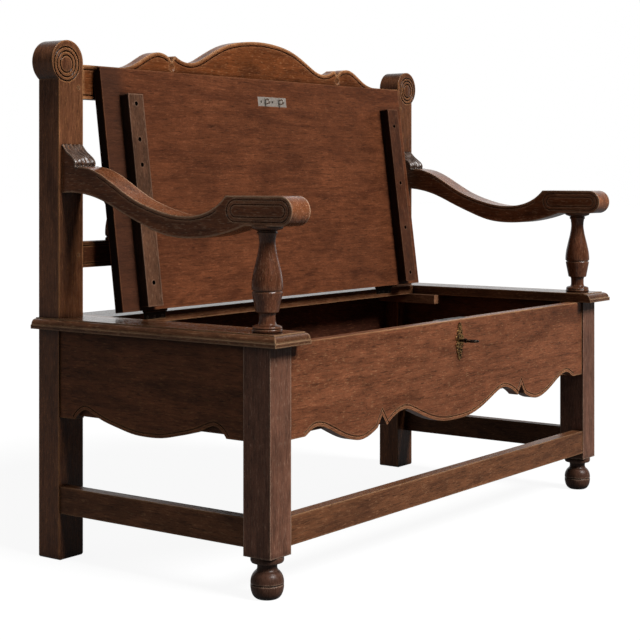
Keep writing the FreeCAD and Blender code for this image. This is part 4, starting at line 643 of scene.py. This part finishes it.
def tarnished_brass(name):
    """Cast brass, filed and left to tarnish: dark brown hollows 3 mm across between yellow high
    spots, and rounded edges."""
    material = bpy.data.materials.new(name)
    material.use_nodes = True
    tree = material.node_tree
    tree.nodes.clear()
    place = add(tree, "ShaderNodeTexCoord").outputs["Object"]
    stain = add(tree, "ShaderNodeTexNoise", {
        "Vector": place, "Scale": 300.0, "Detail": 3.0}).outputs["Fac"]
    brown = add(tree, "ShaderNodeMapRange", {
        "Value": stain, "From Min": 0.42, "From Max": 0.56}).outputs["Result"]
    tone = add(tree, "ShaderNodeMix", {
        "Factor": brown, "A": linear("#d9a866"), "B": linear("#43291a")},
        data_type="RGBA").outputs["Result"]
    rough = add(tree, "ShaderNodeMapRange", {
        "Value": stain, "To Min": 0.2, "To Max": 0.6}).outputs["Result"]
    rounded = add(tree, "ShaderNodeBevel", {"Radius": 0.0008}, samples=4).outputs["Normal"]
    relief = add(tree, "ShaderNodeBump", {
        "Strength": 0.6, "Distance": 0.0006, "Height": stain, "Normal": rounded}).outputs["Normal"]
    shader = add(tree, "ShaderNodeBsdfPrincipled", {
        "Base Color": tone, "Metallic": 1.0, "Roughness": rough, "Normal": relief})
    add(tree, "ShaderNodeOutputMaterial", {"Surface": shader.outputs["BSDF"]})
    return material


finish_in(tarnished_brass("tarnished_cast_brass"), "escutcheon", "escutcheon_pins")


# Floor and light. A pale painted floor, a white sweep behind the bench, one soft lamp above its
# front, and a dim room to the left, which leaves the bench's left faces dark.
floor_reach = 30
floor_glow = 0.92
floor_glow_in_gloss = 0.15
floor_corners = ((-1, -1), (1, -1), (1, 1), (-1, 1))
floor_mesh = bpy.data.meshes.new("floor")
floor_mesh.from_pydata([(x * floor_reach, y * floor_reach, 0) for x, y in floor_corners], [],
                       [(0, 1, 2, 3)])
floor = bpy.data.objects.new("floor", floor_mesh)
bpy.context.scene.collection.objects.link(floor)
pale = bpy.data.materials.new("pale_painted_floor")
pale.use_nodes = True
paint_tree = pale.node_tree
paint_tree.nodes.clear()
paint = add(paint_tree, "ShaderNodeBsdfDiffuse", {"Color": linear("#606060")}).outputs["BSDF"]
glow = add(paint_tree, "ShaderNodeEmission", {
    "Color": linear("#ffffff"), "Strength": floor_glow}).outputs["Emission"]
ray = add(paint_tree, "ShaderNodeLightPath").outputs
dimmed = add(paint_tree, "ShaderNodeMath", {0: ray["Is Glossy Ray"], 1: floor_glow_in_gloss},
             operation="MULTIPLY").outputs["Value"]
seen = add(paint_tree, "ShaderNodeMath", {0: ray["Is Camera Ray"], 1: dimmed},
           operation="MAXIMUM").outputs["Value"]
lit = add(paint_tree, "ShaderNodeAddShader", {0: paint, 1: glow}).outputs["Shader"]
both = add(paint_tree, "ShaderNodeMixShader", {0: seen, 1: paint, 2: lit}).outputs["Shader"]
add(paint_tree, "ShaderNodeOutputMaterial", {"Surface": both})
floor_mesh.materials.append(pale)

world = bpy.data.worlds.new("studio")
bpy.context.scene.world = world
world.use_nodes = True
sky = world.node_tree
sky.nodes.clear()
toward = add(sky, "ShaderNodeTexCoord").outputs["Generated"]
ray = add(sky, "ShaderNodeLightPath").outputs

# The bench's gloss shows the white sweep, which lies where the camera looks.
away = add(sky, "ShaderNodeVectorMath", {0: toward, 1: (0.806, 0.592, 0.0)},
           operation="DOT_PRODUCT").outputs["Value"]
sweep = add(sky, "ShaderNodeMapRange", {
    "Value": away, "From Min": 0.45, "From Max": 0.85, "To Min": 0.07}).outputs["Result"]

# The room's fill comes from behind the bench, high on the left.
rear_left = add(sky, "ShaderNodeVectorMath", {0: toward, 1: (-0.45, 0.80, 0.40)},
                operation="DOT_PRODUCT").outputs["Value"]
fill = add(sky, "ShaderNodeMapRange", {
    "Value": rear_left, "From Min": 0.15, "To Min": 0.015, "To Max": 0.5}).outputs["Result"]
level = add(sky, "ShaderNodeMix", {"Factor": ray["Is Glossy Ray"], "A": fill, "B": sweep},
            data_type="FLOAT").outputs["Result"]
shown = add(sky, "ShaderNodeMath", {0: ray["Is Camera Ray"], 1: level},
            operation="MAXIMUM").outputs["Value"]
white = add(sky, "ShaderNodeBackground", {
    "Color": linear("#ffffff"), "Strength": shown}).outputs["Background"]
add(sky, "ShaderNodeOutputWorld", {"Surface": white})

lamp = bpy.data.objects.new("soft_lamp", bpy.data.lights.new("soft_lamp", "SUN"))
lamp.data.energy = 3.9
lamp.data.angle = math.radians(22)
lamp.rotation_euler = (math.radians(47), 0, math.radians(3))
bpy.context.scene.collection.objects.link(lamp)
